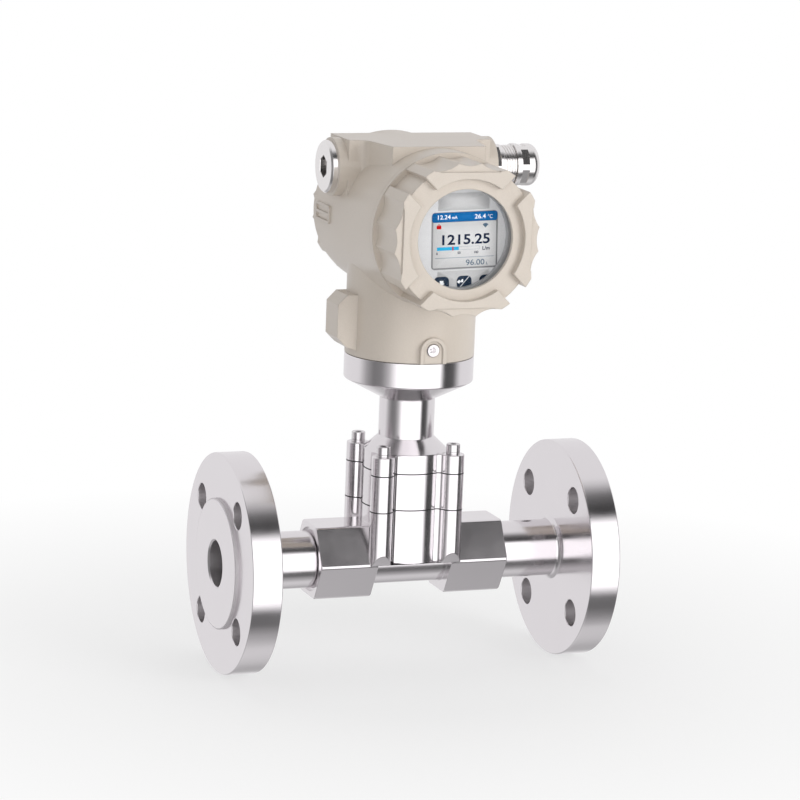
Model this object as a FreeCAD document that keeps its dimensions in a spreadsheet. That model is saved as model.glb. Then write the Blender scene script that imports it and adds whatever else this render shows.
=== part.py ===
import FreeCAD, Part
import math
import os
import re
import Sketcher

# A flanged turbine flowmeter with a display head on a stem.
# The origin is the centre of the inlet's raised face, +X is the way of the flow and +Z is up.
# All lengths are millimetres and all angles degrees.

V = FreeCAD.Vector
X = V(1, 0, 0)
Y = V(0, 1, 0)
Z = V(0, 0, 1)

DIMENSIONS = [
    # Pipe line: two plate flanges on short pipes
    ("overall_length", 205.0, "raised face to raised face"),
    ("flange_diameter", 115.0, "outside of a flange"),
    ("flange_thick", 16.0, "plate without its raised face"),
    ("face_diameter", 68.0, "raised face"),
    ("face_height", 2.0, "raised face above the plate"),
    ("bolt_circle", 85.0, "pitch circle of the flange holes"),
    ("bolt_hole", 14.0, "flange hole"),
    ("bolt_turn", -3.2, "flange holes off the straddling position"),
    ("bore", 24.0, "flow passage"),
    ("pipe_diameter", 30.0, "outside of the connecting pipe"),
    ("pipe_bore", 25.0, "inside of the connecting pipe"),
    ("weld_leg", 3.0, "fillet weld behind each flange"),
    ("socket_depth", 4.0, "pipe let into the body"),
    # Body: hexagon bar ends, a turned waist and the sensor chamber on top
    ("body_length", 103.2, "end to end over the hexagons"),
    ("hex_across", 38.0, "across the hexagon's flats"),
    ("hex_length", 31.2, "each hexagon"),
    ("hex_break", 0.8, "broken edge at each hexagon's end"),
    ("hex_round", 1.8, "rounded long edges of the hexagons"),
    ("recess_gap", 1.7, "recess round the pipe in the hexagon's end face"),
    ("recess_deep", 1.5, "that recess"),
    ("waist_diameter", 29.0, "round part between the hexagons"),
    ("chamber_diameter", 44.0, "round middle of the sensor chamber"),
    ("screw_pitch", 38.5, "side of the square of cap screws"),
    ("lobe_diameter", 12.0, "ear round each cap screw"),
    ("lobe_fillet", 3.0, "fillet between ear and chamber"),
    ("body_top", 28.5, "top of the body over the pipe axis"),
    ("spacer_thick", 19.2, "spacer block"),
    ("cap_thick", 9.8, "plate of the stem"),
    ("pocket_diameter", 17.0, "sensor pocket"),
    ("pocket_floor", 14.0, "pocket floor over the pipe axis"),
    ("case_flange", 21.0, "rim of the sensor case"),
    ("case_rim", 2.0, "thickness of that rim"),
    ("case_wall", 0.8, "wall of the sensor case"),
    # Cap screws with spring washers
    ("screw_diameter", 4.0, "cap screw shank"),
    ("screw_head", 7.2, "cap screw head"),
    ("head_high", 4.2, "cap screw head height"),
    ("socket_across", 3.0, "hexagon socket of the cap screw"),
    ("washer_thick", 1.2, "spring washer"),
    ("screw_grip", 10.0, "cap screw in the body"),
    # Static seals between the three blocks
    ("block_seal", 30.0, "mean diameter of the block seals"),
    ("seal_section", 2.0, "cord of the block seals"),
    # Flow parts in the bore
    ("rotor_length", 12.0, "hub and blades along the flow"),
    ("hub_diameter", 9.0, "hub of rotor and guides"),
    ("blade_count", 8.0, "rotor blades"),
    ("blade_thick", 0.8, "blade"),
    ("blade_angle", 32.0, "blade to the flow at mid height"),
    ("tip_gap", 0.4, "blade tip to bore"),
    ("shaft_diameter", 3.0, "rotor shaft"),
    ("bush_diameter", 5.2, "outside of a bearing bush"),
    ("bush_length", 3.0, "bearing bush"),
    ("thrust_thick", 0.8, "thrust washer"),
    ("guide_length", 25.0, "flow guide from rotor end to nose"),
    ("vane_count", 4.0, "vanes of a guide"),
    ("vane_thick", 1.2, "vane"),
    ("snap_thick", 1.2, "snap ring"),
    ("snap_depth", 1.0, "groove of the snap ring"),
    # Pickup coil
    ("coil_length", 17.0, "winding"),
    ("coil_diameter", 13.4, "winding"),
    ("spool_core", 6.4, "core tube of the spool"),
    ("spool_flange", 1.2, "flange of the spool"),
    ("magnet_diameter", 4.4, "magnet and pole"),
    ("lead_diameter", 4.0, "signal lead in the stem"),
    ("lead_top", 120.0, "end of the signal lead over the pipe axis"),
    # Stem and cup
    ("stem_diameter", 29.0, "round stem"),
    ("stem_bore", 16.0, "wire way in the stem"),
    ("stem_cone", 7.0, "height of the cone above the plate"),
    ("stem_top", 85.0, "shoulder of the stem over the pipe axis"),
    ("spigot_diameter", 24.0, "spigot in the cup"),
    ("spigot_length", 8.0, "spigot in the cup"),
    ("cup_diameter", 67.5, "rim of the cup"),
    ("cup_cone", 9.9, "height of the cup's cone"),
    ("cup_top", 108.0, "top of the cup's rim over the pipe axis"),
    ("swivel_diameter", 59.0, "swivel spigot inside the neck"),
    ("swivel_length", 17.0, "swivel spigot above the rim"),
    ("swivel_wall", 4.5, "wall of the swivel spigot"),
    ("lock_height", 115.3, "lock screw over the pipe axis"),
    ("lock_groove", 1.6, "depth of the lock screw's groove"),
    ("lock_diameter", 6.8, "lock screw"),
    ("lock_point", 3.0, "point of the lock screw"),
    # Head housing
    ("head_height", 178.4, "centre of the drum over the pipe axis"),
    ("drum_front_diameter", 81.0, "drum at the front cover"),
    ("drum_rear_diameter", 82.0, "drum at the rear cover"),
    ("drum_front", 44.3, "front joint face from the stem axis"),
    ("drum_rear", 39.0, "rear joint face from the stem axis"),
    ("drum_bore", 72.0, "both chambers of the drum"),
    ("wall_front", 6.0, "front side of the dividing wall from the stem axis"),
    ("wall_thick", 4.0, "dividing wall"),
    ("neck_diameter", 67.5, "neck of the housing"),
    ("neck_floor", 138.0, "underside of the neck's ceiling"),
    ("wire_hole", 12.0, "hole from neck to front chamber"),
    ("wire_hole_back", 18.0, "that hole in front of the stem axis"),
    ("feed_hole", 8.0, "wires through the dividing wall"),
    ("feed_side", 26.0, "that hole beside the stem axis"),
    ("feed_drop", 10.0, "that hole under the drum's centre"),
    ("pad_top", 219.7, "flat top of the housing over the pipe axis"),
    ("pad_half_width", 25.2, "front part of the flat top"),
    ("pad_front", 31.5, "front of the flat top from the stem axis"),
    ("pad_root", 29.5, "where the flat top meets its arms"),
    ("pad_fillet", 6.0, "inner corner of the flat top"),
    ("arm_half_width", 38.8, "arms of the flat top"),
    ("entry_half_length", 43.6, "stem axis to the face of a cable entry"),
    ("entry_back", 10.0, "entry axis behind the stem axis"),
    ("entry_height", 204.4, "entry axis over the pipe axis"),
    ("entry_diameter", 30.0, "round end of an entry"),
    ("entry_square", 28.6, "square part of an entry, front to back"),
    ("entry_thread", 20.0, "entry thread"),
    ("tag_length", 21.0, "raised frame on the drum's side"),
    ("tag_width", 9.6, "raised frame on the drum's side"),
    ("tag_back", 25.0, "middle of that frame behind the stem axis"),
    ("tag_line", 1.4, "bar of that frame"),
    ("tag_high", 0.8, "that frame above the drum"),
    ("side_boss_reach", 43.3, "side boss of the neck from the stem axis"),
    ("side_boss_width", 18.0, "side boss front to back"),
    ("side_boss_low", 113.5, "underside of the side boss"),
    ("side_boss_high", 140.5, "top of the side boss"),
    ("side_boss_corner", 5.0, "bevelled corners of the side boss"),
    ("front_boss_width", 14.2, "boss round the lock screw"),
    ("front_boss_top", 122.0, "top of that boss over the pipe axis"),
    ("front_boss_reach", 35.2, "face of that boss from the stem axis"),
    ("front_boss_rim", 2.0, "raised rim of that boss"),
    ("front_boss_sink", 0.9, "floor of that boss under its rim"),
    # Screwed covers with four arms
    ("front_cover_length", 31.1, "front joint face to the arms' faces"),
    ("rear_cover_length", 11.0, "rear joint face to the arms' faces"),
    ("cover_rim", 3.2, "full ring next to the drum"),
    ("arm_diameter", 80.2, "over the corners of the arms"),
    ("notch_diameter", 74.8, "cover between its arms"),
    ("notch_width", 11.4, "notch between two arms"),
    ("arm_inner_diameter", 61.4, "inner ends of the arms"),
    ("arm_high", 3.4, "arms above the cover's face"),
    ("scallop_trough", 74.6, "across opposite finger scallops"),
    ("scallop_radius", 16.0, "finger scallop"),
    ("scallop_step", 18.0, "angle between scallops"),
    ("ledge_reach", 34.2, "step across an arm from the axis"),
    ("ledge_half_width", 16.0, "that step across the arm"),
    ("ledge_drop", 1.0, "that step below the arm's face"),
    ("skirt_diameter", 73.0, "screwed skirt"),
    ("skirt_length", 11.0, "screwed skirt"),
    ("skirt_wall", 3.6, "screwed skirt"),
    ("skirt_relief", 1.0, "mouth of the drum deeper than the skirt"),
    ("cover_wall", 3.4, "side wall behind the deepest scallop"),
    ("cover_seal", 2.2, "cord of a cover's seal"),
    ("thread_pitch", 1.5, "pitch of the cover thread"),
    # Window
    ("window_diameter", 50.6, "clear opening"),
    ("window_lip", 2.2, "lip in front of the glass"),
    ("glass_diameter", 56.0, "window glass"),
    ("glass_thick", 4.0, "window glass"),
    ("clamp_thick", 3.0, "ring behind the glass"),
    # Display stack
    ("display_face", 62.0, "display front from the stem axis"),
    ("display_side", 3.5, "screen centre beside the stem axis"),
    ("display_drop", 1.8, "screen centre under the drum's centre"),
    ("display_turn", 1.7, "screen off the level, anticlockwise from the front"),
    ("bezel_diameter", 64.4, "round display frame"),
    ("bezel_thick", 7.0, "display frame"),
    ("screen_width", 35.4, "screen"),
    ("screen_high", 28.8, "screen"),
    ("screen_corner", 2.0, "rounded corner of the screen"),
    ("screen_thick", 2.4, "screen"),
    ("key_width", 7.8, "touch key"),
    ("key_high", 6.6, "touch key"),
    ("key_corner", 2.4, "rounded corner of a touch key"),
    ("key_pitch", 12.1, "touch keys, middle to middle"),
    ("key_drop", 21.3, "touch keys under the screen's centre"),
    ("key_thick", 0.8, "touch key"),
    ("board_thick", 1.6, "circuit boards"),
    ("board_gap", 0.6, "main board to the wall of its chamber, at least"),
    ("display_board_diameter", 62.0, "board behind the display"),
    ("main_board_diameter", 66.0, "main board"),
    ("main_board_face", 31.0, "front of the main board from the stem axis"),
    ("post_circle", 56.0, "pitch circle of the posts"),
    ("post_spread", 110.0, "angle from the top post to each lower one"),
    ("post_across", 5.0, "posts"),
    ("post_screw", 2.5, "screws of the posts"),
    ("screw_cap", 4.5, "head of those screws"),
    ("screw_sink", 2.0, "head sunk in the display frame"),
    # Terminals
    ("terminal_width", 40.0, "terminal block"),
    ("terminal_high", 14.0, "terminal block"),
    ("terminal_deep", 16.0, "terminal block"),
    ("terminal_drop", 8.0, "terminal block under the drum's centre"),
    ("terminal_ways", 5.0, "ways of the terminal block"),
    ("terminal_screw", 4.0, "terminal screw"),
    ("ground_screw_size", 4.0, "ground screw"),
    ("ground_side", 22.0, "ground screw beside the stem axis"),
    ("ground_rise", 12.0, "ground screw over the drum's centre"),
    # Blanking plug
    ("plug_diameter", 27.1, "plug flange"),
    ("plug_thick", 3.7, "plug flange"),
    ("plug_shank", 12.0, "plug thread"),
    ("plug_socket", 10.0, "hexagon socket of the plug"),
    ("plug_seal_section", 1.4, "cord of the plug's seal"),
    # Cable gland
    ("gland_hex", 22.0, "gland body across flats"),
    ("gland_hex_length", 3.3, "gland body hexagon"),
    ("gland_collar", 2.2, "round collar after the hexagon"),
    ("gland_thread", 20.8, "outer thread of the gland body"),
    ("gland_thread_length", 13.5, "that thread"),
    ("gland_shank", 10.0, "gland thread in the housing"),
    ("gland_bore", 13.0, "gland bore"),
    ("nut_diameter", 22.6, "gland nut"),
    ("nut_start", 12.7, "gland nut from the entry's face"),
    ("nut_length", 13.6, "gland nut"),
    ("nut_hex_start", 2.7, "hexagon on the gland nut"),
    ("nut_hex_length", 3.9, "hexagon on the gland nut"),
    ("cable_bore", 7.0, "hole of the sealing sleeve"),
    ("sleeve_length", 14.0, "sealing sleeve"),
    ("sleeve_inset", 3.6, "sleeve's end inside the nut's"),
    # Clearances
    ("fit_gap", 0.1, "between pieces that stay together"),
    ("running_gap", 0.05, "shaft in its bush"),
    ("moving_gap", 0.3, "between screwed or swivelling pieces"),
    ("seal_gap", 0.2, "seal in its groove"),
]

doc = FreeCAD.newDocument("Flowmeter")
sheet = doc.addObject("Spreadsheet::Sheet", "Dimensions")
for row, (alias, number, note) in enumerate(DIMENSIONS, start=1):
    sheet.set("A%d" % row, alias)
    sheet.set("B%d" % row, str(number))
    sheet.setAlias("B%d" % row, alias)
    sheet.set("C%d" % row, note)
doc.recompute()

NAMES = {alias for alias, number, note in DIMENSIONS}
nodes = []


def size(alias):
    """The value that the sheet holds under this name."""
    return float(sheet.get(alias))


def cells(formula):
    """The same formula with each size's name pointed at its cell."""
    def point(match):
        word = match.group(0)
        return "Dimensions." + word if word in NAMES else word
    return re.sub(r"[a-z][a-z_]*", point, formula)


def bind(thing, **formulas):
    """Binds properties, such as Radius or Height, to formulas of the sheet's names."""
    for name, formula in formulas.items():
        thing.setExpression(name, cells(formula))


# The way a piece's own axis points in the meter
UPWARD = FreeCAD.Rotation()
FLOWWARD = FreeCAD.Rotation(Y, 90)
UPSTREAM = FreeCAD.Rotation(Y, -90)
FORWARD = FreeCAD.Rotation(X, 90)
BACKWARD = FreeCAD.Rotation(X, -90)

MIDDLE = "overall_length / 2"


def place(thing, at, turn):
    """Puts a piece's own origin at three formulas and turns its axis."""
    thing.Placement = FreeCAD.Placement(V(0, 0, 0), turn)
    for letter, formula in zip("xyz", at):
        thing.setExpression("Placement.Base." + letter, cells(formula))


def keep(node, thing):
    """Names a finished piece and puts it on the list that is written out."""
    thing.Label = node
    nodes.append((node, thing))
    return thing


def turned(name, profile, at, turn=UPWARD):
    """A turned piece: its closed half section, in (radius, height) formulas, goes round its own axis."""
    body = doc.addObject("PartDesign::Body", name + "_turning")
    sketch = body.newObject("Sketcher::SketchObject", name + "_section")
    plane = [f for f in body.Origin.OriginFeatures if f.Role == "XZ_Plane"][0]
    sketch.AttachmentSupport = [(plane, "")]
    sketch.MapMode = "FlatFace"
    count = len(profile)
    start = [V(10 + 5 * math.cos(2 * math.pi * k / count), 10 + 5 * math.sin(2 * math.pi * k / count), 0)
             for k in range(count)]
    for k in range(count):
        sketch.addGeometry(Part.LineSegment(start[k], start[(k + 1) % count]))
    for k in range(count):
        sketch.addConstraint(Sketcher.Constraint("Coincident", k, 2, (k + 1) % count, 1))
    for k, (radius, height) in enumerate(profile):
        if radius == "0":
            sketch.addConstraint(Sketcher.Constraint("PointOnObject", k, 1, -2))
        else:
            index = sketch.addConstraint(Sketcher.Constraint("DistanceX", -1, 1, k, 1, start[k].x))
            sketch.setExpression("Constraints[%d]" % index, cells(radius))
        if height == "0":
            sketch.addConstraint(Sketcher.Constraint("PointOnObject", k, 1, -1))
        else:
            index = sketch.addConstraint(Sketcher.Constraint("DistanceY", -1, 1, k, 1, start[k].y))
            sketch.setExpression("Constraints[%d]" % index, cells(height))
    doc.recompute()
    revolution = body.newObject("PartDesign::Revolution", name + "_round")
    revolution.Profile = sketch
    revolution.ReferenceAxis = (sketch, ["V_Axis"])
    revolution.Angle = 360
    body.Tip = revolution
    place(body, at, turn)
    return body


def tube(name, outer, inner, length, at, turn=UPWARD):
    """A plain ring or tube from its two diameters and its length."""
    section = [("(%s) / 2" % inner, "0"), ("(%s) / 2" % outer, "0"),
               ("(%s) / 2" % outer, length), ("(%s) / 2" % inner, length)]
    return turned(name, section, at, turn)


def rod(name, diameter, length, at, turn=UPWARD):
    """A plain cylinder on its own axis."""
    cylinder = doc.addObject("Part::Cylinder", name + "_rod")
    bind(cylinder, Radius="(%s) / 2" % diameter, Height=length)
    place(cylinder, at, turn)
    return cylinder


def hexagon_bar(name, across, length, at, turn=UPWARD):
    """A hexagon prism from its size across flats."""
    prism = doc.addObject("Part::Prism", name + "_hexagon")
    prism.Polygon = 6
    bind(prism, Circumradius="(%s) / sqrt(3)" % across, Height=length)
    place(prism, at, turn)
    return prism


def block(name, width, depth, height, at):
    """A rectangular block from one corner."""
    box = doc.addObject("Part::Box", name + "_block")
    bind(box, Length=width, Width=depth, Height=height)
    place(box, at, UPWARD)
    return box


def ring_cord(name, mean, cord, at, turn=UPWARD):
    """A round cord seal."""
    torus = doc.addObject("Part::Torus", name + "_cord")
    bind(torus, Radius1="(%s) / 2" % mean, Radius2="(%s) / 2" % cord)
    place(torus, at, turn)
    return torus


def joined(name, things):
    """Several solids of one piece as one."""
    fusion = doc.addObject("Part::MultiFuse", name + "_joined")
    fusion.Shapes = things
    fusion.Refine = True
    return fusion


def group(name, things):
    """Like pieces kept as separate solids of one node."""
    compound = doc.addObject("Part::Compound", name + "_group")
    compound.Links = things
    return compound


def cut(name, base, tools):
    """A piece with holes, each hole being a solid of its own."""
    result = doc.addObject("Part::Cut", name + "_cut")
    result.Base = base
    result.Tool = tools[0] if len(tools) == 1 else joined(name + "_tools", tools)
    result.Refine = True
    return result


def shaped(name, shape):
    """A piece whose form is worked out below from the sheet's sizes, already in its place."""
    feature = doc.addObject("Part::Feature", name + "_shape")
    feature.Shape = shape
    return feature


def moved(shape, x, y, z, turn=UPWARD):
    """A copy of a shape, turned about the origin and then moved."""
    copy = shape.copy()
    copy.Placement = FreeCAD.Placement(V(x, y, z), turn)
    return copy


# Sizes that many of the shapes below share

middle = size("overall_length") / 2


# Flanges, pipes and their welds

def flange(node, at, turn):
    """A plate flange with a raised face: the face looks down the piece's own axis."""
    blank = turned(node, [("bore / 2", "0"), ("face_diameter / 2", "0"), ("face_diameter / 2", "face_height"),
                          ("flange_diameter / 2", "face_height"),
                          ("flange_diameter / 2", "face_height + flange_thick"),
                          ("bore / 2", "face_height + flange_thick")], at, turn)
    holes = []
    for k in range(4):
        spoke = "(%d + bolt_turn)" % (45 + 90 * k)
        hole = rod("%s_hole_%d" % (node, k + 1), "bolt_hole", "overall_length", (
            "-overall_length / 4 + " + at[0],
            "bolt_circle / 2 * cos(%s)" % spoke,
            "bolt_circle / 2 * sin(%s)" % spoke), FLOWWARD)
        holes.append(hole)
    return keep(node, cut(node, blank, holes))


flange("inlet_flange", ("0", "0", "0"), FLOWWARD)
flange("outlet_flange", ("overall_length", "0", "0"), UPSTREAM)

PIPE_RUN = "(overall_length - body_length) / 2 - face_height - flange_thick"


def pipe(node, at, turn):
    """A connecting pipe with its fillet weld, from the flange's back into the body's socket."""
    section = [("pipe_bore / 2", "0"), ("pipe_diameter / 2 + weld_leg", "0"), ("pipe_diameter / 2", "weld_leg"),
               ("pipe_diameter / 2", PIPE_RUN + " + socket_depth"), ("pipe_bore / 2", PIPE_RUN + " + socket_depth")]
    return keep(node, turned(node, section, at, turn))


pipe("inlet_pipe", ("face_height + flange_thick", "0", "0"), FLOWWARD)
pipe("outlet_pipe", ("overall_length - face_height - flange_thick", "0", "0"), UPSTREAM)


# Body, spacer block and stem plate, which share one outline with four ears

def eared_outline():
    """The chamber's plan: a circle with an ear at each cap screw and a fillet on both sides of it."""
    round_radius = size("chamber_diameter") / 2
    ear = size("lobe_diameter") / 2
    fillet = size("lobe_fillet")
    reach = size("screw_pitch") / math.sqrt(2)
    near = round_radius + fillet
    far = ear + fillet
    swing = math.acos((near ** 2 + reach ** 2 - far ** 2) / (2 * near * reach))
    edges = []
    for k in range(4):
        spoke = math.radians(45 + 90 * k)
        ear_centre = V(reach * math.cos(spoke), reach * math.sin(spoke), 0)
        corners = {}
        for side in (-1, 1):
            centre = V(near * math.cos(spoke + side * swing), near * math.sin(spoke + side * swing), 0)
            corners[side] = (centre, centre * (round_radius / near),
                             centre + (ear_centre - centre) * (fillet / far))
        for side in (-1, 1):
            centre, on_round, on_ear = corners[side]
            toward = (on_round + on_ear) * 0.5 - centre
            bend = centre + toward * (fillet / toward.Length)
            edges.append(Part.Arc(on_round, bend, on_ear).toShape())
        tip = ear_centre * ((reach + ear) / reach)
        edges.append(Part.Arc(corners[-1][2], tip, corners[1][2]).toShape())
        next_spoke = spoke + math.pi / 2
        after = V(round_radius * math.cos(next_spoke - swing), round_radius * math.sin(next_spoke - swing), 0)
        halfway = V(round_radius * math.cos(spoke + math.pi / 4), round_radius * math.sin(spoke + math.pi / 4), 0)
        edges.append(Part.Arc(corners[1][1], halfway, after).toShape())
    wire = Part.Wire(Part.__sortEdges__(edges))
    return Part.Face(wire)


def eared_block(low, high):
    """A block with the eared plan between two heights over the pipe axis."""
    block_shape = eared_outline().extrude(V(0, 0, high - low))
    return moved(block_shape, middle, 0, low)


def screw_spots():
    """The four places of the cap screws, seen from above."""
    half = size("screw_pitch") / 2
    return [(middle + sx * half, sy * half) for sx in (-1, 1) for sy in (-1, 1)]


def upright(diameter, low, high, x=None, y=0.0):
    """A cylinder along Z between two heights."""
    return Part.makeCylinder(diameter / 2, high - low, V(middle if x is None else x, y, low), Z)


def along_flow(diameter, start, end, y=0.0, z=0.0):
    """A cylinder along X between two places."""
    return Part.makeCylinder(diameter / 2, end - start, V(start, y, z), X)


def seal_groove(height):
    """The groove of a block seal, cut down from a flat face."""
    cord = size("seal_section") + 2 * size("fit_gap")
    ring = upright(size("block_seal") + cord, height - cord, height)
    return ring.cut(upright(size("block_seal") - cord, height - cord, height))


def hexagon_end(start, end):
    """One hexagon end of the body: long edges rounded, corners turned off at both faces."""
    across = size("hex_across")
    corner = across / math.sqrt(3)
    points = [V(0, corner * math.cos(math.radians(60 * k)), corner * math.sin(math.radians(60 * k)))
              for k in range(7)]
    bar = moved(Part.Face(Part.makePolygon(points)).extrude(V(end - start, 0, 0)), start, 0, 0)
    long_edges = [e for e in bar.Edges if abs(e.Vertexes[0].X - e.Vertexes[1].X) > (end - start) / 2]
    bar = bar.makeFillet(size("hex_round"), long_edges)
    edge = size("hex_break")
    profile = [V(start, 0, 0), V(start, corner - edge, 0), V(start + edge, corner, 0),
               V(end - edge, corner, 0), V(end, corner - edge, 0), V(end, 0, 0), V(start, 0, 0)]
    turning = Part.Face(Part.makePolygon(profile)).revolve(V(0, 0, 0), X, 360)
    return bar.common(turning)


def meter_body():
    """Hexagon ends, waist and chamber in one piece; below the hexagon's corners the chamber is cut flush."""
    start = middle - size("body_length") / 2
    end = middle + size("body_length") / 2
    hexagon = size("hex_length")
    bore = size("bore")
    top = size("body_top")
    left = hexagon_end(start, start + hexagon)
    right = hexagon_end(end - hexagon, end)
    waist = along_flow(size("waist_diameter"), start + hexagon - 1, end - hexagon + 1)
    corner = size("hex_across") / math.sqrt(3)
    slope = math.sqrt(3)
    out = size("chamber_diameter")
    trim = Part.makePolygon([V(0, -corner, 0), V(0, corner, 0), V(0, out, slope * (out - corner)),
                             V(0, out, top + out), V(0, -out, top + out), V(0, -out, slope * (out - corner)),
                             V(0, -corner, 0)])
    trimmer = moved(Part.Face(trim).extrude(V(2 * out, 0, 0)), middle - out, 0, 0)
    chamber = eared_block(0, top).common(trimmer)
    shape = left.fuse([right, waist, chamber])
    gap = size("fit_gap")
    groove = size("bore") + 2 * size("snap_depth")
    snap_in = size("rotor_length") / 2 + size("thrust_thick") + size("guide_length") + gap
    snap_wide = size("snap_thick") + 2 * gap
    tools = [along_flow(bore, start - 1, end + 1),
             along_flow(size("pipe_diameter") + gap, start - 1, start + size("socket_depth") + gap),
             along_flow(size("pipe_diameter") + gap, end - size("socket_depth") - gap, end + 1),
             along_flow(size("pipe_diameter") + 2 * size("recess_gap"), start - 1, start + size("recess_deep")),
             along_flow(size("pipe_diameter") + 2 * size("recess_gap"), end - size("recess_deep"), end + 1),
             along_flow(groove, middle - snap_in - snap_wide, middle - snap_in),
             along_flow(groove, middle + snap_in, middle + snap_in + snap_wide),
             upright(size("pocket_diameter"), size("pocket_floor"), top + 1),
             seal_groove(top)]
    for x, y in screw_spots():
        tools.append(upright(size("screw_diameter") + gap, top - size("screw_grip") - 2, top + 1, x, y))
    return shape.cut(tools).removeSplitter()


def spacer_block():
    """The middle block: sensor bore with a seat for the case's rim, four screw holes and the upper seal."""
    low = size("body_top")
    high = low + size("spacer_thick")
    gap = size("fit_gap")
    tools = [upright(size("pocket_diameter"), low - 1, high + 1),
             upright(size("case_flange") + 2 * gap, high - size("case_rim") - gap, high + 1),
             seal_groove(high)]
    for x, y in screw_spots():
        tools.append(upright(size("screw_diameter") + 4 * gap, low - 1, high + 1, x, y))
    return eared_block(low, high).cut(tools).removeSplitter()


def stem_shape():
    """The stem: eared plate, cone, round tube and the spigot that the cup is pressed on."""
    low = size("body_top") + size("spacer_thick")
    plate_top = low + size("cap_thick")
    tube_radius = size("stem_diameter") / 2
    foot = size("chamber_diameter") / 2
    spigot = size("spigot_diameter") / 2
    top = size("stem_top")
    profile = [V(0, 0, plate_top - 1), V(foot, 0, plate_top - 1), V(foot, 0, plate_top),
               V(tube_radius, 0, plate_top + size("stem_cone")), V(tube_radius, 0, top), V(spigot, 0, top),
               V(spigot, 0, top + size("spigot_length")), V(0, 0, top + size("spigot_length")),
               V(0, 0, plate_top - 1)]
    turning = moved(Part.Face(Part.makePolygon(profile)).revolve(V(0, 0, 0), Z, 360), middle, 0, 0)
    gap = size("fit_gap")
    head_seat = size("screw_head") + 2 * size("moving_gap")
    tools = [upright(size("stem_bore"), low - 1, top + size("spigot_length") + 1)]
    for x, y in screw_spots():
        tools.append(upright(size("screw_diameter") + 4 * gap, low - 1, plate_top + 1, x, y))
        tools.append(upright(head_seat, plate_top, top, x, y))
    return eared_block(low, plate_top).fuse(turning).cut(tools).removeSplitter()


keep("meter_body", shaped("meter_body", meter_body()))
keep("spacer_block", shaped("spacer_block", spacer_block()))
keep("stem", shaped("stem", stem_shape()))

keep("lower_block_seal", ring_cord("lower_block_seal", "block_seal", "seal_section",
                                   (MIDDLE, "0", "body_top - seal_section / 2 - fit_gap")))
keep("upper_block_seal", ring_cord("upper_block_seal", "block_seal", "seal_section",
                                   (MIDDLE, "0", "body_top + spacer_thick - seal_section / 2 - fit_gap")))

# Cap screws and spring washers at the four ears

PLATE_TOP = "body_top + spacer_thick + cap_thick"
screws = []
washers = []
for k, (side_x, side_y) in enumerate([("-", "-"), ("-", "+"), ("+", "-"), ("+", "+")], start=1):
    spot_x = MIDDLE + " %s screw_pitch / 2" % side_x
    spot_y = "0 %s screw_pitch / 2" % side_y
    shank = rod("cap_screw_shank_%d" % k, "screw_diameter", "spacer_thick + cap_thick + screw_grip + washer_thick",
                (spot_x, spot_y, "body_top - screw_grip"))
    head = rod("cap_screw_head_%d" % k, "screw_head", "head_high",
               (spot_x, spot_y, PLATE_TOP + " + washer_thick"))
    socket = hexagon_bar("cap_screw_socket_%d" % k, "socket_across", "head_high",
                         (spot_x, spot_y, PLATE_TOP + " + washer_thick + head_high / 2"))
    screws.append(cut("cap_screw_%d" % k, joined("cap_screw_blank_%d" % k, [shank, head]), [socket]))
    ring = tube("spring_washer_%d" % k, "screw_head", "screw_diameter + 2 * fit_gap",
                "washer_thick - 2 * running_gap", (spot_x, spot_y, PLATE_TOP + " + running_gap"))
    slit = block("washer_slit_%d" % k, "screw_head", "blade_thick", "2 * washer_thick",
                 (spot_x, spot_y + " - blade_thick / 2", PLATE_TOP + " - washer_thick / 2"))
    washers.append(cut("split_washer_%d" % k, ring, [slit]))
keep("cap_screws", group("cap_screws", screws))
keep("spring_washers", group("spring_washers", washers))


# Sensor case, spool, winding, magnet and lead

CASE_FLOOR = "pocket_floor + fit_gap"
CASE_LENGTH = "(body_top + spacer_thick - pocket_floor - 2 * fit_gap)"
keep("pickup_case", turned("pickup_case", [
    ("0", "0"), ("pocket_diameter / 2 - fit_gap", "0"),
    ("pocket_diameter / 2 - fit_gap", CASE_LENGTH + " - case_rim"),
    ("case_flange / 2", CASE_LENGTH + " - case_rim"), ("case_flange / 2", CASE_LENGTH),
    ("pocket_diameter / 2 - fit_gap - case_wall", CASE_LENGTH),
    ("pocket_diameter / 2 - fit_gap - case_wall", "case_wall"), ("0", "case_wall")],
    (MIDDLE, "0", CASE_FLOOR)))

SPOOL_FOOT = "pocket_floor + 2 * fit_gap + case_wall"
SPOOL_LENGTH = "(coil_length + 2 * spool_flange + 2 * fit_gap)"
FLANGE_EDGE = "pocket_diameter / 2 - 2 * fit_gap - case_wall"
keep("pickup_spool", turned("pickup_spool", [
    ("magnet_diameter / 2 + fit_gap", "0"), (FLANGE_EDGE, "0"), (FLANGE_EDGE, "spool_flange"),
    ("spool_core / 2", "spool_flange"), ("spool_core / 2", SPOOL_LENGTH + " - spool_flange"),
    (FLANGE_EDGE, SPOOL_LENGTH + " - spool_flange"), (FLANGE_EDGE, SPOOL_LENGTH),
    ("magnet_diameter / 2 + fit_gap", SPOOL_LENGTH)],
    (MIDDLE, "0", SPOOL_FOOT)))
keep("pickup_coil", tube("pickup_coil", "coil_diameter", "spool_core + 2 * fit_gap", "coil_length",
                         (MIDDLE, "0", SPOOL_FOOT + " + spool_flange + fit_gap")))
keep("pickup_magnet", rod("pickup_magnet", "magnet_diameter", SPOOL_LENGTH, (MIDDLE, "0", SPOOL_FOOT)))
LEAD_FOOT = SPOOL_FOOT + " + coil_length + 2 * spool_flange + 3 * fit_gap"
keep("signal_lead", rod("signal_lead", "lead_diameter", "lead_top - (%s)" % LEAD_FOOT, (MIDDLE, "0", LEAD_FOOT)))
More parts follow.
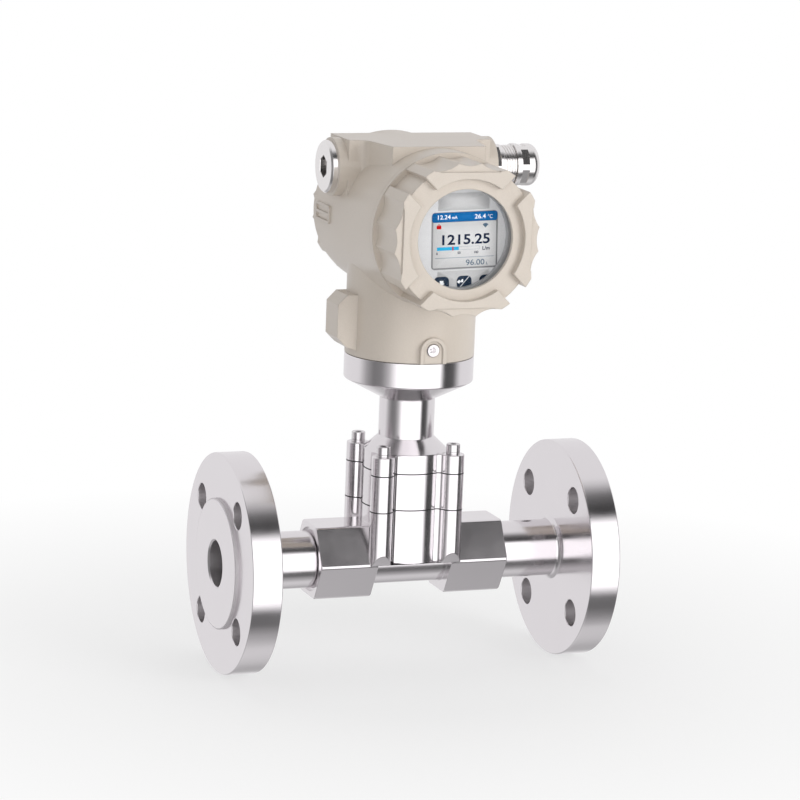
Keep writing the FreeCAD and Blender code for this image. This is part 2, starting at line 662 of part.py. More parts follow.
keep("lead_plug", cut("lead_plug", rod("lead_plug_blank", "2.6 * lead_diameter", "3 * lead_diameter",
                                       (MIDDLE, "0", "lead_top - lead_diameter")),
                      [rod("lead_plug_bore", "lead_diameter + 2 * fit_gap", "lead_diameter + fit_gap",
                           (MIDDLE, "0", "lead_top - lead_diameter"))]))


# Rotor, its shaft and bearings, and the two flow guides

def rotor_shape():
    """Hub with helical blades: each blade is lofted through sections that turn as they go downstream."""
    length = size("rotor_length")
    hub = size("hub_diameter") / 2
    tip = size("bore") / 2 - size("tip_gap")
    thick = size("blade_thick") / 2
    count = int(round(size("blade_count")))
    mid_radius = (hub + tip) / 2
    twist = math.degrees(length * math.tan(math.radians(size("blade_angle"))) / mid_radius)
    seat = size("bush_diameter") / 2 + size("running_gap")
    start = middle - length / 2
    hub_shape = along_flow(2 * hub, start, start + length)
    stations = 4
    blades = []
    for k in range(count):
        sections = []
        for s in range(stations + 1):
            part = s / stations
            x = start + 0.5 + (length - 1) * part
            turn = FreeCAD.Rotation(X, 360.0 * k / count + twist * (part - 0.5))
            corners = [V(0, -thick, hub - 0.6), V(0, thick, hub - 0.6), V(0, thick, tip), V(0, -thick, tip)]
            points = [turn.multVec(c) + V(x, 0, 0) for c in corners]
            sections.append(Part.makePolygon(points + points[:1]))
        blades.append(Part.makeLoft(sections, True, False))
    shape = hub_shape.fuse(blades)
    shape = shape.common(along_flow(2 * tip, start, start + length))
    return shape.cut(along_flow(2 * seat, start - 1, start + length + 1)).removeSplitter()


keep("rotor", shaped("rotor", rotor_shape()))

GUIDE_FACE = "(rotor_length / 2 + thrust_thick)"
bushes = []
thrust_rings = []
for word, place_x, turn in (("front", MIDDLE + " - rotor_length / 2", FLOWWARD),
                            ("rear", MIDDLE + " + rotor_length / 2", UPSTREAM)):
    bushes.append(tube("bearing_bush_" + word, "bush_diameter", "shaft_diameter + 2 * running_gap", "bush_length",
                       (place_x, "0", "0"), turn))
for word, place_x, turn in (("front", MIDDLE + " - rotor_length / 2 - running_gap", UPSTREAM),
                            ("rear", MIDDLE + " + rotor_length / 2 + running_gap", FLOWWARD)):
    thrust_rings.append(tube("thrust_ring_" + word, "bush_diameter", "shaft_diameter + 2 * running_gap",
                             "thrust_thick - 2 * running_gap", (place_x, "0", "0"), turn))
keep("bearing_bushes", group("bearing_bushes", bushes))
keep("thrust_washers", group("thrust_washers", thrust_rings))

SHAFT_DEPTH = "(guide_length / 3)"
keep("rotor_shaft", rod("rotor_shaft", "shaft_diameter",
                        "2 * %s + 2 * %s - 2 * fit_gap" % (GUIDE_FACE, SHAFT_DEPTH),
                        (MIDDLE + " - %s - %s + fit_gap" % (GUIDE_FACE, SHAFT_DEPTH), "0", "0"), FLOWWARD))


def guide_shape(side):
    """A flow guide: bullet hub with straight vanes that reach the bore, drilled for the shaft's end."""
    hub = size("hub_diameter") / 2
    length = size("guide_length")
    vane_length = length - hub
    hub_shape = Part.makeCylinder(hub, vane_length).fuse(Part.makeSphere(hub, V(0, 0, vane_length)))
    reach = size("bore") / 2 - size("running_gap")
    thick = size("vane_thick")
    vanes = []
    count = int(round(size("vane_count")))
    for k in range(count):
        vane = Part.makeBox(reach + 1, thick, vane_length, V(0, -thick / 2, 0))
        vane.rotate(V(0, 0, 0), Z, 45 + 360.0 * k / count)
        vanes.append(vane)
    shape = hub_shape.fuse(vanes).common(Part.makeCylinder(reach, length))
    drill = Part.makeCylinder(size("shaft_diameter") / 2 + size("running_gap") / 2, length / 3, V(0, 0, 0), Z)
    shape = shape.cut(drill).removeSplitter()
    face = size("rotor_length") / 2 + size("thrust_thick")
    return moved(shape, middle + side * face, 0, 0, FLOWWARD if side > 0 else UPSTREAM)


keep("inlet_guide", shaped("inlet_guide", guide_shape(-1)))
keep("outlet_guide", shaped("outlet_guide", guide_shape(1)))


def snap_ring(side):
    """A bore snap ring: a flat ring with a gap at the bottom, in its groove behind the guide's vanes."""
    outer = size("bore") / 2 + size("snap_depth") - size("fit_gap")
    inner = size("bore") / 2 - 1.4 * size("snap_depth")
    inset = size("rotor_length") / 2 + size("thrust_thick") + size("guide_length") + 2 * size("fit_gap")
    thick = size("snap_thick")
    start = middle + side * inset - (thick if side < 0 else 0)
    ring = along_flow(2 * outer, start, start + thick).cut(along_flow(2 * inner, start - 1, start + thick + 1))
    opening = Part.makeBox(3 * thick, 4 * thick, outer, V(start - thick, -2 * thick, -outer))
    return ring.cut(opening)


keep("inlet_snap_ring", shaped("inlet_snap_ring", snap_ring(-1)))
keep("outlet_snap_ring", shaped("outlet_snap_ring", snap_ring(1)))


# Cup on the stem, with the swivel spigot that the head turns on

CUP_FOOT = "stem_top"
SWIVEL = "swivel_diameter / 2"
SEAL_LOW = "(cup_top - stem_top + 1)"
SEAL_DEEP = "(cover_seal + seal_gap)"
LOCK_LOW = "(lock_height - stem_top - lock_point / 2 - moving_gap)"
LOCK_HIGH = "(lock_height - stem_top + lock_point / 2 + moving_gap)"
SWIVEL_TOP = "(cup_top - stem_top + swivel_length)"
keep("head_cup", turned("head_cup", [
    ("spigot_diameter / 2 + running_gap / 2", "0"), ("stem_diameter / 2", "0"),
    ("cup_diameter / 2", "cup_cone"), ("cup_diameter / 2", "cup_top - stem_top"),
    (SWIVEL, "cup_top - stem_top"), (SWIVEL, SEAL_LOW),
    (SWIVEL + " - " + SEAL_DEEP, SEAL_LOW), (SWIVEL + " - " + SEAL_DEEP, SEAL_LOW + " + cover_seal + 2 * seal_gap"),
    (SWIVEL, SEAL_LOW + " + cover_seal + 2 * seal_gap"),
    (SWIVEL, LOCK_LOW), (SWIVEL + " - lock_groove", LOCK_LOW), (SWIVEL + " - lock_groove", LOCK_HIGH),
    (SWIVEL, LOCK_HIGH), (SWIVEL, SWIVEL_TOP), (SWIVEL + " - swivel_wall", SWIVEL_TOP),
    (SWIVEL + " - swivel_wall", "cup_cone + 3"), ("spigot_diameter / 2 + running_gap / 2", "cup_cone + 3")],
    (MIDDLE, "0", CUP_FOOT)))
keep("neck_seal", ring_cord("neck_seal", "swivel_diameter - cover_seal", "cover_seal",
                            (MIDDLE, "0", "cup_top + 1 + cover_seal / 2 + seal_gap")))


# Head housing

def drum_length():
    """The drum from its front to its rear joint face."""
    return size("drum_front") + size("drum_rear")


def along_depth(diameter, front, rear, x=None, z=None):
    """A cylinder along Y between two places, on the drum's axis unless told otherwise."""
    centre_x = middle if x is None else x
    centre_z = size("head_height") if z is None else z
    return Part.makeCylinder(diameter / 2, rear - front, V(centre_x, front, centre_z), Y)


def post_spots():
    """The three posts of the boards, from the drum's centre."""
    ring = size("post_circle") / 2
    angles = [90 + k * size("post_spread") for k in (0, 1, -1)]
    return [(ring * math.cos(math.radians(a)), ring * math.sin(math.radians(a))) for a in angles]


def top_block():
    """The flat-topped block: wide arms at the cable entries and a narrower front, with filleted inner corners."""
    half = size("pad_half_width")
    arm = size("arm_half_width")
    root = size("pad_root")
    front = -size("pad_front")
    arm_front = size("entry_back") - size("entry_square") / 2
    arm_rear = size("entry_back") + size("entry_square") / 2
    corners = [(-half, front), (half, front), (root, arm_front), (arm, arm_front), (arm, arm_rear),
               (-arm, arm_rear), (-arm, arm_front), (-root, arm_front), (-half, front)]
    plan = Part.Face(Part.makePolygon([V(middle + x, y, 0) for x, y in corners]))
    low = size("head_height")
    solid = moved(plan.extrude(V(0, 0, size("pad_top") - low)), 0, 0, low)
    inner = [edge for edge in solid.Edges
             if abs(abs(edge.CenterOfMass.x - middle) - root) < 0.01
             and abs(edge.CenterOfMass.y - arm_front) < 0.01 and len(edge.Vertexes) == 2
             and abs(edge.Vertexes[0].Z - edge.Vertexes[1].Z) > 1]
    return solid.makeFillet(size("pad_fillet"), inner)


def side_boss():
    """The bevelled boss on the inlet side of the neck."""
    low = size("side_boss_low")
    high = size("side_boss_high")
    corner = size("side_boss_corner")
    outer = middle - size("side_boss_reach")
    width = size("side_boss_width")
    inner = middle - size("swivel_diameter") / 2 - 1
    points = [(inner, low - 3), (outer + corner, low), (outer, low + corner), (outer, high - corner),
              (outer + corner, high), (inner, high)]
    face = Part.Face(Part.makePolygon([V(x, -width / 2, z) for x, z in points + points[:1]]))
    return face.extrude(V(0, width, 0))


def front_boss():
    """The round-topped boss of the lock screw, from the neck's lower edge up, its floor sunk inside a rim."""
    width = size("front_boss_width")
    low = size("cup_top") + size("moving_gap")
    high = size("front_boss_top")
    reach = size("front_boss_reach")
    depth = reach - size("swivel_diameter") / 2 - 1
    centre = high - width / 2
    plate = Part.makeBox(width, depth, centre - low, V(middle - width / 2, -reach, low))
    crown = Part.makeCylinder(width / 2, depth, V(middle, -reach, centre), Y)
    below = Part.makeBox(2 * width, 2 * depth, width, V(middle - width, -reach - depth / 2, low - width))
    floor = width - 2 * size("front_boss_rim")
    sink = size("front_boss_sink")
    channel = Part.makeBox(floor, 2 * sink, centre - low + width, V(middle - floor / 2, -reach - sink, low - width))
    channel_end = Part.makeCylinder(floor / 2, 2 * sink, V(middle, -reach - sink, centre), Y)
    return plate.fuse(crown).cut([below, channel, channel_end])


def tag_frame():
    """The raised frame with a middle bar on the drum's inlet side, its middle left bare."""
    length = size("tag_length")
    width = size("tag_width")
    line = size("tag_line")
    outer = middle - size("drum_rear_diameter") / 2 - size("tag_high")
    depth = 5 + size("tag_high")
    low = size("head_height") - width / 2
    back = size("tag_back") - length / 2
    frame = Part.makeBox(depth, length, width, V(outer, back, low))
    corner = [edge for edge in frame.Edges
              if abs(edge.Vertexes[0].X - edge.Vertexes[1].X) > 1]
    frame = frame.makeFillet(1.4 * line, corner)
    opening_high = (width - 3 * line) / 2
    for k in range(2):
        opening = Part.makeBox(depth + 2, length - 2 * line, opening_high,
                               V(outer - 1, back + line, low + line + k * (opening_high + line)))
        frame = frame.cut(opening)
    return frame


def housing_shape():
    """Drum on its neck with the flat top, two entries and the bosses; two chambers and a dividing wall."""
    gap = size("moving_gap")
    front = -size("drum_front")
    rear = size("drum_rear")
    centre = size("head_height")
    drum = Part.makeCone(size("drum_front_diameter") / 2, size("drum_rear_diameter") / 2, drum_length(),
                         V(middle, front, centre), Y)
    neck = upright(size("neck_diameter"), size("cup_top") + gap, centre)
    entry = along_flow(size("entry_diameter"), middle - size("entry_half_length"),
                       middle + size("entry_half_length"), size("entry_back"), size("entry_height"))
    shape = drum.fuse([neck, top_block(), entry, side_boss(), front_boss(), tag_frame()])
    bore = size("drum_bore")
    mouth = size("skirt_diameter") + 2 * gap
    mouth_deep = size("skirt_length") + size("skirt_relief")
    wall_front = -size("wall_front")
    wall_rear = wall_front + size("wall_thick")
    thread = size("entry_thread")
    lock_seat = size("lock_diameter") + 2 * size("fit_gap")
    tools = [along_depth(bore, front + mouth_deep, wall_front),
             along_depth(mouth, front - 1, front + mouth_deep + 0.01),
             along_depth(bore, wall_rear, rear - mouth_deep),
             along_depth(mouth, rear - mouth_deep - 0.01, rear + 1),
             upright(size("swivel_diameter") + 2 * gap, size("cup_top") - 1, size("neck_floor")),
             along_depth(size("main_board_diameter") + 2 * size("board_gap"), front + mouth_deep,
                         -size("main_board_face") + size("board_thick") + gap),
             upright(size("wire_hole"), size("neck_floor") - 1, centre - bore / 2 + size("wire_hole") / 2,
                     middle, -size("wire_hole_back")),
             along_flow(thread, middle - size("entry_half_length") - 1, middle - bore / 4,
                        size("entry_back"), size("entry_height")),
             along_flow(thread, middle + bore / 4, middle + size("entry_half_length") + 1,
                        size("entry_back"), size("entry_height")),
             along_depth(size("feed_hole"), wall_front - 1, wall_rear + 1, middle - size("feed_side"),
                         centre - size("feed_drop")),
             Part.makeCylinder(lock_seat / 2, size("front_boss_reach") - size("swivel_diameter") / 2 + 2,
                               V(middle, -size("front_boss_reach") - 1, size("lock_height")), Y)]
    for x, z in post_spots():
        tools.append(along_depth(size("post_screw") + size("fit_gap"), wall_front - 1, wall_front + 3,
                                 middle + x, centre + z))
    return shape.cut(tools).removeSplitter()


keep("housing", shaped("housing", housing_shape()))


# Covers: a ring next to the drum, then four arms with finger scallops and straight notches between them

def cover_blank(length):
    """The outside of a screwed cover, its joint face at the origin and its arms pointing up the Z axis."""
    rim = size("cover_rim")
    arm_radius = size("arm_diameter") / 2
    notch_radius = size("notch_diameter") / 2
    blank = Part.makeCylinder(arm_radius, length)
    full = Part.makeCylinder(size("drum_front_diameter") / 2, rim)
    face = length - size("arm_high")
    blank = blank.cut(Part.makeCylinder(size("arm_inner_diameter") / 2, 2 * size("arm_high"), V(0, 0, face)))
    notch = size("notch_width")
    trough = size("scallop_trough") / 2
    finger = size("scallop_radius")
    step = size("scallop_step")
    reach = size("ledge_reach")
    tools = []
    for k in range(4):
        spoke = 90.0 * k
        slot = Part.makeBox(arm_radius, notch, 2 * size("arm_high"), V(arm_radius / 2, -notch / 2, face))
        slot.rotate(V(0, 0, 0), Z, spoke + 45)
        deep = Part.makeBox(arm_radius, notch, length, V(arm_radius / 2, -notch / 2, rim))
        deep = deep.cut(Part.makeCylinder(notch_radius, 2 * length))
        deep.rotate(V(0, 0, 0), Z, spoke + 45)
        ledge = Part.makeBox(arm_radius, 2 * size("ledge_half_width"), 2 * size("ledge_drop"),
                             V(reach, -size("ledge_half_width"), length - size("ledge_drop")))
        ledge.rotate(V(0, 0, 0), Z, spoke)
        tools += [slot, deep, ledge]
        for place_k in (-1, 0, 1):
            turn = math.radians(spoke + place_k * step)
            centre = V((trough + finger) * math.cos(turn), (trough + finger) * math.sin(turn), rim)
            tools.append(Part.makeCylinder(finger, length, centre))
    return blank.cut(tools).fuse(full)


def cover_skirt():
    """The screwed skirt under the joint face, with the seal's groove at its root."""
    outer = size("skirt_diameter") / 2
    length = size("skirt_length")
    gap = size("seal_gap")
    cord = size("cover_seal")
    skirt = Part.makeCylinder(outer, length + 1, V(0, 0, -length))
    ring = Part.makeCylinder(outer + 1, cord + 2 * gap, V(0, 0, -cord - 3 * gap))
    core = Part.makeCylinder(outer - cord - gap - 0.1, cord + 4 * gap, V(0, 0, -cord - 4 * gap))
    return skirt.cut(ring.cut(core))


def front_cover_shape():
    """The window cover: hollow, with a stepped seat for the glass and a clear round opening."""
    length = size("front_cover_length")
    gap = size("fit_gap")
    face = length - size("arm_high")
    glass_top = face - size("window_lip")
    glass_low = glass_top - size("glass_thick")
    clamp_low = glass_low - size("clamp_thick")
    inside = size("skirt_diameter") / 2 - size("skirt_wall")
    room = size("scallop_trough") / 2 - size("cover_wall")
    shape = cover_blank(length).fuse(cover_skirt())
    tools = [Part.makeCylinder(inside, size("skirt_length") + 4, V(0, 0, -size("skirt_length") - 1)),
             Part.makeCylinder(min(room, inside), clamp_low, V(0, 0, 0)),
             Part.makeCylinder(size("glass_diameter") / 2 + gap, glass_top - clamp_low + 1, V(0, 0, clamp_low - 1)),
             Part.makeCylinder(size("window_diameter") / 2, length, V(0, 0, clamp_low))]
    return shape.cut(tools).removeSplitter()


def rear_cover_shape():
    """The blind cover: the same outside, shorter, with a closed face."""
    length = size("rear_cover_length")
    inside = size("skirt_diameter") / 2 - size("skirt_wall")
    face = length - size("arm_high")
    shape = cover_blank(length).fuse(cover_skirt())
    hollow = Part.makeCylinder(inside, size("skirt_length") + face - size("cover_wall") + 1,
                               V(0, 0, -size("skirt_length") - 1))
    return shape.cut(hollow).removeSplitter()


FRONT_FACE = ("overall_length / 2", "-drum_front - fit_gap", "head_height")
front_cover = shaped("front_cover", front_cover_shape())
place(front_cover, FRONT_FACE, FORWARD)
keep("front_cover", front_cover)
rear_cover = shaped("rear_cover", rear_cover_shape())
place(rear_cover, ("overall_length / 2", "drum_rear + fit_gap", "head_height"), BACKWARD)
keep("rear_cover", rear_cover)

SEAL_MEAN = "skirt_diameter - cover_seal - seal_gap"
SEAL_INSET = "cover_seal / 2 + 2 * seal_gap"
keep("front_cover_seal", ring_cord("front_cover_seal", SEAL_MEAN, "cover_seal",
                                   (MIDDLE, "-drum_front + " + SEAL_INSET, "head_height"), FORWARD))
keep("rear_cover_seal", ring_cord("rear_cover_seal", SEAL_MEAN, "cover_seal",
                                  (MIDDLE, "drum_rear - (%s)" % SEAL_INSET, "head_height"), FORWARD))

GLASS_BACK = "(drum_front + front_cover_length - arm_high - window_lip - glass_thick)"
keep("window_glass", rod("window_glass", "glass_diameter", "glass_thick",
                         (MIDDLE, "-" + GLASS_BACK, "head_height"), FORWARD))
keep("window_clamp_ring", tube("window_clamp_ring", "glass_diameter", "window_diameter",
                               "clamp_thick - fit_gap",
                               (MIDDLE, "-" + GLASS_BACK + " + clamp_thick", "head_height"), FORWARD))


# Display: round frame with the screen and three touch keys let into it

def rounded_plate(width, high, thick, corner):
    """A plate with rounded corners, centred on its own axis."""
    plate = Part.makeBox(width, high, thick, V(-width / 2, -high / 2, 0))
    upright_edges = [edge for edge in plate.Edges
                     if abs(edge.Vertexes[0].Z - edge.Vertexes[1].Z) > thick / 2]
    return plate.makeFillet(corner, upright_edges)


def key_plates(grow, thick, low):
    """The three touch keys, or their seats when they are grown, from the screen's centre."""
    plate = rounded_plate(size("key_width") + 2 * grow, size("key_high") + 2 * grow, thick, size("key_corner"))
    return [moved(plate, k * size("key_pitch"), -size("key_drop"), low) for k in (-1, 0, 1)]


def display_frame_shape():
    """A round frame about the drum's axis, its front face at the origin, with seats for screen, keys and screws."""
    thick = size("bezel_thick")
    gap = size("fit_gap")
    level = FreeCAD.Rotation(Z, -size("display_turn"))
    centre = level.multVec(V(-size("display_side"), size("display_drop"), -thick))
    frame = Part.makeCylinder(size("bezel_diameter") / 2, thick, centre)
    seat = rounded_plate(size("screen_width") + 2 * gap, size("screen_high") + 2 * gap, size("screen_thick") + 1,
                         size("screen_corner"))
    tools = [moved(seat, 0, 0, -size("screen_thick"))]
    tools += key_plates(gap, size("key_thick") + 1, -size("key_thick") / 2)
    for x, z in post_spots():
        spot = centre + level.multVec(V(x, z, 0))
        tools.append(Part.makeCylinder(size("post_screw") / 2 + gap, 2 * thick, spot - V(0, 0, 1)))
        tools.append(Part.makeCylinder(size("screw_cap") / 2 + gap, thick, spot + V(0, 0, thick - size("screw_sink"))))
    return frame.cut(tools)


def touch_keys_shape():
    """Three rounded tiles, half their thickness proud of the frame."""
    gap = size("fit_gap")
    return Part.makeCompound(key_plates(0, size("key_thick") - gap, gap - size("key_thick") / 2))


TILTED = FORWARD.multiply(FreeCAD.Rotation(Z, size("display_turn")))
SIDE = "overall_length / 2 + display_side"
DROP = "head_height - display_drop"
display_frame = shaped("display_frame", display_frame_shape())
place(display_frame, (SIDE, "-display_face", DROP), TILTED)
keep("display_frame", display_frame)
screen = shaped("screen", rounded_plate(size("screen_width"), size("screen_high"),
                                        size("screen_thick") - size("fit_gap"), size("screen_corner")))
place(screen, (SIDE, "-display_face + screen_thick - fit_gap", DROP), TILTED)
keep("screen", screen)
touch_keys = shaped("touch_keys", touch_keys_shape())
place(touch_keys, (SIDE, "-display_face", DROP), TILTED)
keep("touch_keys", touch_keys)

# Circuit boards on hexagon posts

DISPLAY_BOARD = "(display_face - bezel_thick - fit_gap)"
POSTS = [("%s + post_circle / 2 * cos(90 + %d * post_spread)" % (MIDDLE, k),
          "head_height + post_circle / 2 * sin(90 + %d * post_spread)" % k) for k in (0, 1, -1)]


def board(node, diameter, face):
    """A round circuit board with a hole at each post."""
    disc = rod(node, diameter, "board_thick", (MIDDLE, "-" + face, "head_height"), BACKWARD)
    holes = [rod("%s_hole_%d" % (node, k), "post_screw + 2 * fit_gap", "3 * board_thick",
                 (post_x, "-%s - board_thick" % face, post_z), BACKWARD)
             for k, (post_x, post_z) in enumerate(POSTS, start=1)]
    return keep(node, cut(node, disc, holes))


board("display_board", "display_board_diameter", DISPLAY_BOARD)
board("main_board", "main_board_diameter", "main_board_face")

FRONT_POST = "(%s - board_thick - main_board_face - 2 * fit_gap)" % DISPLAY_BOARD
REAR_POST = "(main_board_face - board_thick - wall_front - 2 * fit_gap)"
front_posts = []
rear_posts = []
post_screws = []
for k, (post_x, post_z) in enumerate(POSTS, start=1):
    front_bar = hexagon_bar("front_post_%d" % k, "post_across", FRONT_POST,
                            (post_x, "-main_board_face - fit_gap", post_z), FORWARD)
    front_bore = rod("front_post_bore_%d" % k, "post_screw + fit_gap", FRONT_POST,
                     (post_x, "-main_board_face - fit_gap - %s / 2" % FRONT_POST, post_z), FORWARD)
    front_posts.append(cut("front_post_%d" % k, front_bar, [front_bore]))
    rear_posts.append(hexagon_bar("rear_post_%d" % k, "post_across", REAR_POST,
                                  (post_x, "-wall_front - fit_gap", post_z), FORWARD))
    cap = rod("post_screw_cap_%d" % k, "screw_cap", "screw_sink - fit_gap",
              (post_x, "-display_face + screw_sink - fit_gap", post_z), FORWARD)
    shank = rod("post_screw_shank_%d" % k, "post_screw", "bezel_thick + board_thick + 2 * post_screw",
                (post_x, "-display_face + bezel_thick + board_thick + 2 * post_screw", post_z), FORWARD)
    post_screws.append(joined("post_screw_%d" % k, [cap, shank]))
keep("front_posts", group("front_posts", front_posts))
keep("rear_posts", group("rear_posts", rear_posts))
keep("post_screws", group("post_screws", post_screws))


# Terminals in the rear chamber

def terminal_block_shape():
    """A block with a wire opening and a screw well for each way, on the rear side of the dividing wall."""
    width = size("terminal_width")
    high = size("terminal_high")
    deep = size("terminal_deep")
    ways = int(round(size("terminal_ways")))
    wall_rear = -size("wall_front") + size("wall_thick")
    low = size("head_height") - size("terminal_drop") - high
    base = Part.makeBox(width, deep, high, V(middle - width / 2, wall_rear + size("fit_gap"), low))
    pitch = width / ways
    tools = []
    for k in range(ways):
        x = middle - width / 2 + (k + 0.5) * pitch
        tools.append(Part.makeBox(0.6 * pitch, 0.6 * deep, 0.35 * high,
                                  V(x - 0.3 * pitch, wall_rear + 0.5 * deep, low + 0.1 * high)))
        tools.append(Part.makeCylinder(size("terminal_screw") / 2 + size("fit_gap"), 0.5 * deep,
                                       V(x, wall_rear + 0.6 * deep, low + 0.72 * high), Y))
    return base.cut(tools)


def terminal_screws_shape():
    """A slotted screw in each well."""
    width = size("terminal_width")
    high = size("terminal_high")
    deep = size("terminal_deep")
    ways = int(round(size("terminal_ways")))
    wall_rear = -size("wall_front") + size("wall_thick")
    z = size("head_height") - size("terminal_drop") - high + 0.72 * high
    radius = size("terminal_screw") / 2
    screws_made = []
    for k in range(ways):
        x = middle - width / 2 + (k + 0.5) * width / ways
        head = Part.makeCylinder(radius, 0.25 * deep, V(x, wall_rear + 0.6 * deep + size("fit_gap"), z), Y)
        slot = Part.makeBox(3 * radius, radius, radius / 3, V(x - 1.5 * radius, wall_rear + 0.82 * deep, z - radius / 6))
        screws_made.append(head.cut(slot))
    return Part.makeCompound(screws_made)


keep("terminal_block", shaped("terminal_block", terminal_block_shape()))
keep("terminal_screws", shaped("terminal_screws", terminal_screws_shape()))

GROUND = (MIDDLE + " - ground_side", "-wall_front + wall_thick + fit_gap", "head_height + ground_rise")
keep("ground_screw", cut("ground_screw", joined("ground_screw_blank", [
    rod("ground_screw_washer", "2.6 * ground_screw_size", "0.3 * ground_screw_size", GROUND, BACKWARD),
    rod("ground_screw_head", "1.8 * ground_screw_size", "0.9 * ground_screw_size", GROUND, BACKWARD)]), [
    block("ground_screw_slot", "2 * ground_screw_size", "ground_screw_size", "0.2 * ground_screw_size",
          (MIDDLE + " - ground_side - ground_screw_size", "-wall_front + wall_thick + 0.6 * ground_screw_size",
           "head_height + ground_rise - 0.1 * ground_screw_size"))]))

# Lock screw in the neck: hexagon socket and a point that runs in the cup's groove

LOCK_LENGTH = "(front_boss_reach - swivel_diameter / 2 - 2 * moving_gap)"
POINT_LENGTH = "lock_groove"
keep("lock_screw", cut("lock_screw", turned("lock_screw", [
    ("0", "0"), ("lock_diameter / 2", "0"), ("lock_diameter / 2", LOCK_LENGTH + " - 1"),
    ("lock_point / 2", LOCK_LENGTH), ("lock_point / 2", LOCK_LENGTH + " + " + POINT_LENGTH),
    ("0", LOCK_LENGTH + " + " + POINT_LENGTH)],
    (MIDDLE, "-front_boss_reach + moving_gap", "lock_height"), BACKWARD), [
    hexagon_bar("lock_screw_socket", "lock_diameter / 2.2", "lock_diameter / 2",
                (MIDDLE, "-front_boss_reach - lock_diameter / 8", "lock_height"), BACKWARD)]))


# Blanking plug on the inlet side

PLUG_FACE = (MIDDLE + " - entry_half_length - running_gap", "entry_back", "entry_height")
PLUG_GROOVE = "(entry_thread / 2 - moving_gap - plug_seal_section - seal_gap)"
PLUG_SHANK = "entry_thread / 2 - moving_gap"
GROOVE_END = "(plug_thick + plug_seal_section + 2 * seal_gap)"
keep("blanking_plug", cut("blanking_plug", turned("blanking_plug", [
    ("0", "0"), ("plug_diameter / 2 - 0.6", "0"), ("plug_diameter / 2", "0.6"), ("plug_diameter / 2", "plug_thick"),
    (PLUG_GROOVE, "plug_thick"), (PLUG_GROOVE, GROOVE_END), (PLUG_SHANK, GROOVE_END),
    (PLUG_SHANK, "plug_thick + plug_shank - 1"), (PLUG_SHANK + " - 1", "plug_thick + plug_shank"),
    ("0", "plug_thick + plug_shank")],
    (PLUG_FACE[0] + " - plug_thick", "entry_back", "entry_height"), FLOWWARD), [
    hexagon_bar("plug_socket", "plug_socket", "plug_socket",
                (PLUG_FACE[0] + " - plug_thick - 0.3 * plug_socket", "entry_back", "entry_height"), FLOWWARD)]))
keep("plug_seal", ring_cord("plug_seal", "entry_thread - 2 * moving_gap - plug_seal_section - seal_gap / 2",
                            "plug_seal_section",
                            (PLUG_FACE[0] + " + plug_seal_section / 2 + seal_gap", "entry_back", "entry_height"),
                            FLOWWARD))


# Cable gland on the outlet side

GLAND_FACE = (MIDDLE + " + entry_half_length", "entry_back", "entry_height")


def on_gland(distance):
    """A place on the entry's axis, that far out from the entry's face."""
    return (GLAND_FACE[0] + " + " + distance, GLAND_FACE[1], GLAND_FACE[2])


COLLAR_END = "(gland_hex_length + gland_collar)"
GLAND_END = "(%s + gland_thread_length)" % COLLAR_END
gland_round = turned("gland_round", [
    ("gland_bore / 2", "0"), ("entry_thread / 2 - fit_gap", "0"),
    ("entry_thread / 2 - fit_gap", "gland_shank"), ("gland_hex / 2 - 0.3", "gland_shank"),
    ("gland_hex / 2 - 0.3", "gland_shank + " + COLLAR_END), ("gland_thread / 2", "gland_shank + " + COLLAR_END),
    ("gland_thread / 2", "gland_shank + " + GLAND_END), ("gland_bore / 2", "gland_shank + " + GLAND_END)],
    on_gland("fit_gap - gland_shank"), FLOWWARD)
gland_flats = cut("gland_flats", hexagon_bar("gland_flats", "gland_hex", "gland_hex_length",
                                             on_gland("fit_gap"), FLOWWARD),
                  [rod("gland_flats_bore", "gland_bore", "3 * gland_hex_length",
                       on_gland("0 - gland_hex_length"), FLOWWARD)])
keep("gland_body", joined("gland_body", [gland_round, gland_flats]))

NUT_INNER = "gland_thread / 2 + moving_gap"
nut_round = turned("nut_round", [
    (NUT_INNER, "0"), ("nut_diameter / 2", "0"), ("nut_diameter / 2", "nut_length - 4"),
    ("nut_diameter / 2 - 1", "nut_length - 1.6"), ("nut_diameter / 2 - 3.2", "nut_length"),
    ("cable_bore / 2 + 1", "nut_length"), ("cable_bore / 2 + 1", "nut_length - 2.5"),
    (NUT_INNER, "nut_length - 5")],
    on_gland("nut_start"), FLOWWARD)
nut_trim = cut("nut_trim", tube("nut_band", "nut_diameter + 2", "nut_diameter - 2", "nut_hex_length",
                                on_gland("nut_start + nut_hex_start"), FLOWWARD),
               [hexagon_bar("nut_flats", "nut_diameter - 0.7", "3 * nut_hex_length",
                            on_gland("nut_start + nut_hex_start - nut_hex_length"), FLOWWARD)])
keep("gland_nut", cut("gland_nut", nut_round, [nut_trim]))
keep("sealing_sleeve", tube("sealing_sleeve", "gland_bore - 2 * moving_gap", "cable_bore", "sleeve_length",
                            on_gland("nut_start + nut_length - sleeve_inset - sleeve_length"), FLOWWARD))

# Checks, then one file for each piece

doc.recompute()
faults = []
for thing in doc.Objects:
    if "Invalid" in thing.State or "Error" in thing.State:
        faults.append("%s is %s" % (thing.Name, thing.State))
for node, thing in nodes:
    shape = thing.Shape
    if shape.isNull():
        faults.append(node + " has no shape")
    elif not shape.isValid():
        faults.append(node + " is not a valid shape")
    elif not shape.Solids:
        faults.append(node + " holds no solid")
if len({node for node, thing in nodes}) != len(nodes):
    faults.append("two pieces share a name")
if faults:
    raise SystemExit("\n".join(faults))

os.makedirs("parts", exist_ok=True)
for node, thing in nodes:
    thing.Shape.exportStep("parts/%s.step" % node)
    print("%-20s %2d solid  %10.1f mm3" % (node, len(thing.Shape.Solids), thing.Shape.Volume))
print(len(nodes), "pieces")
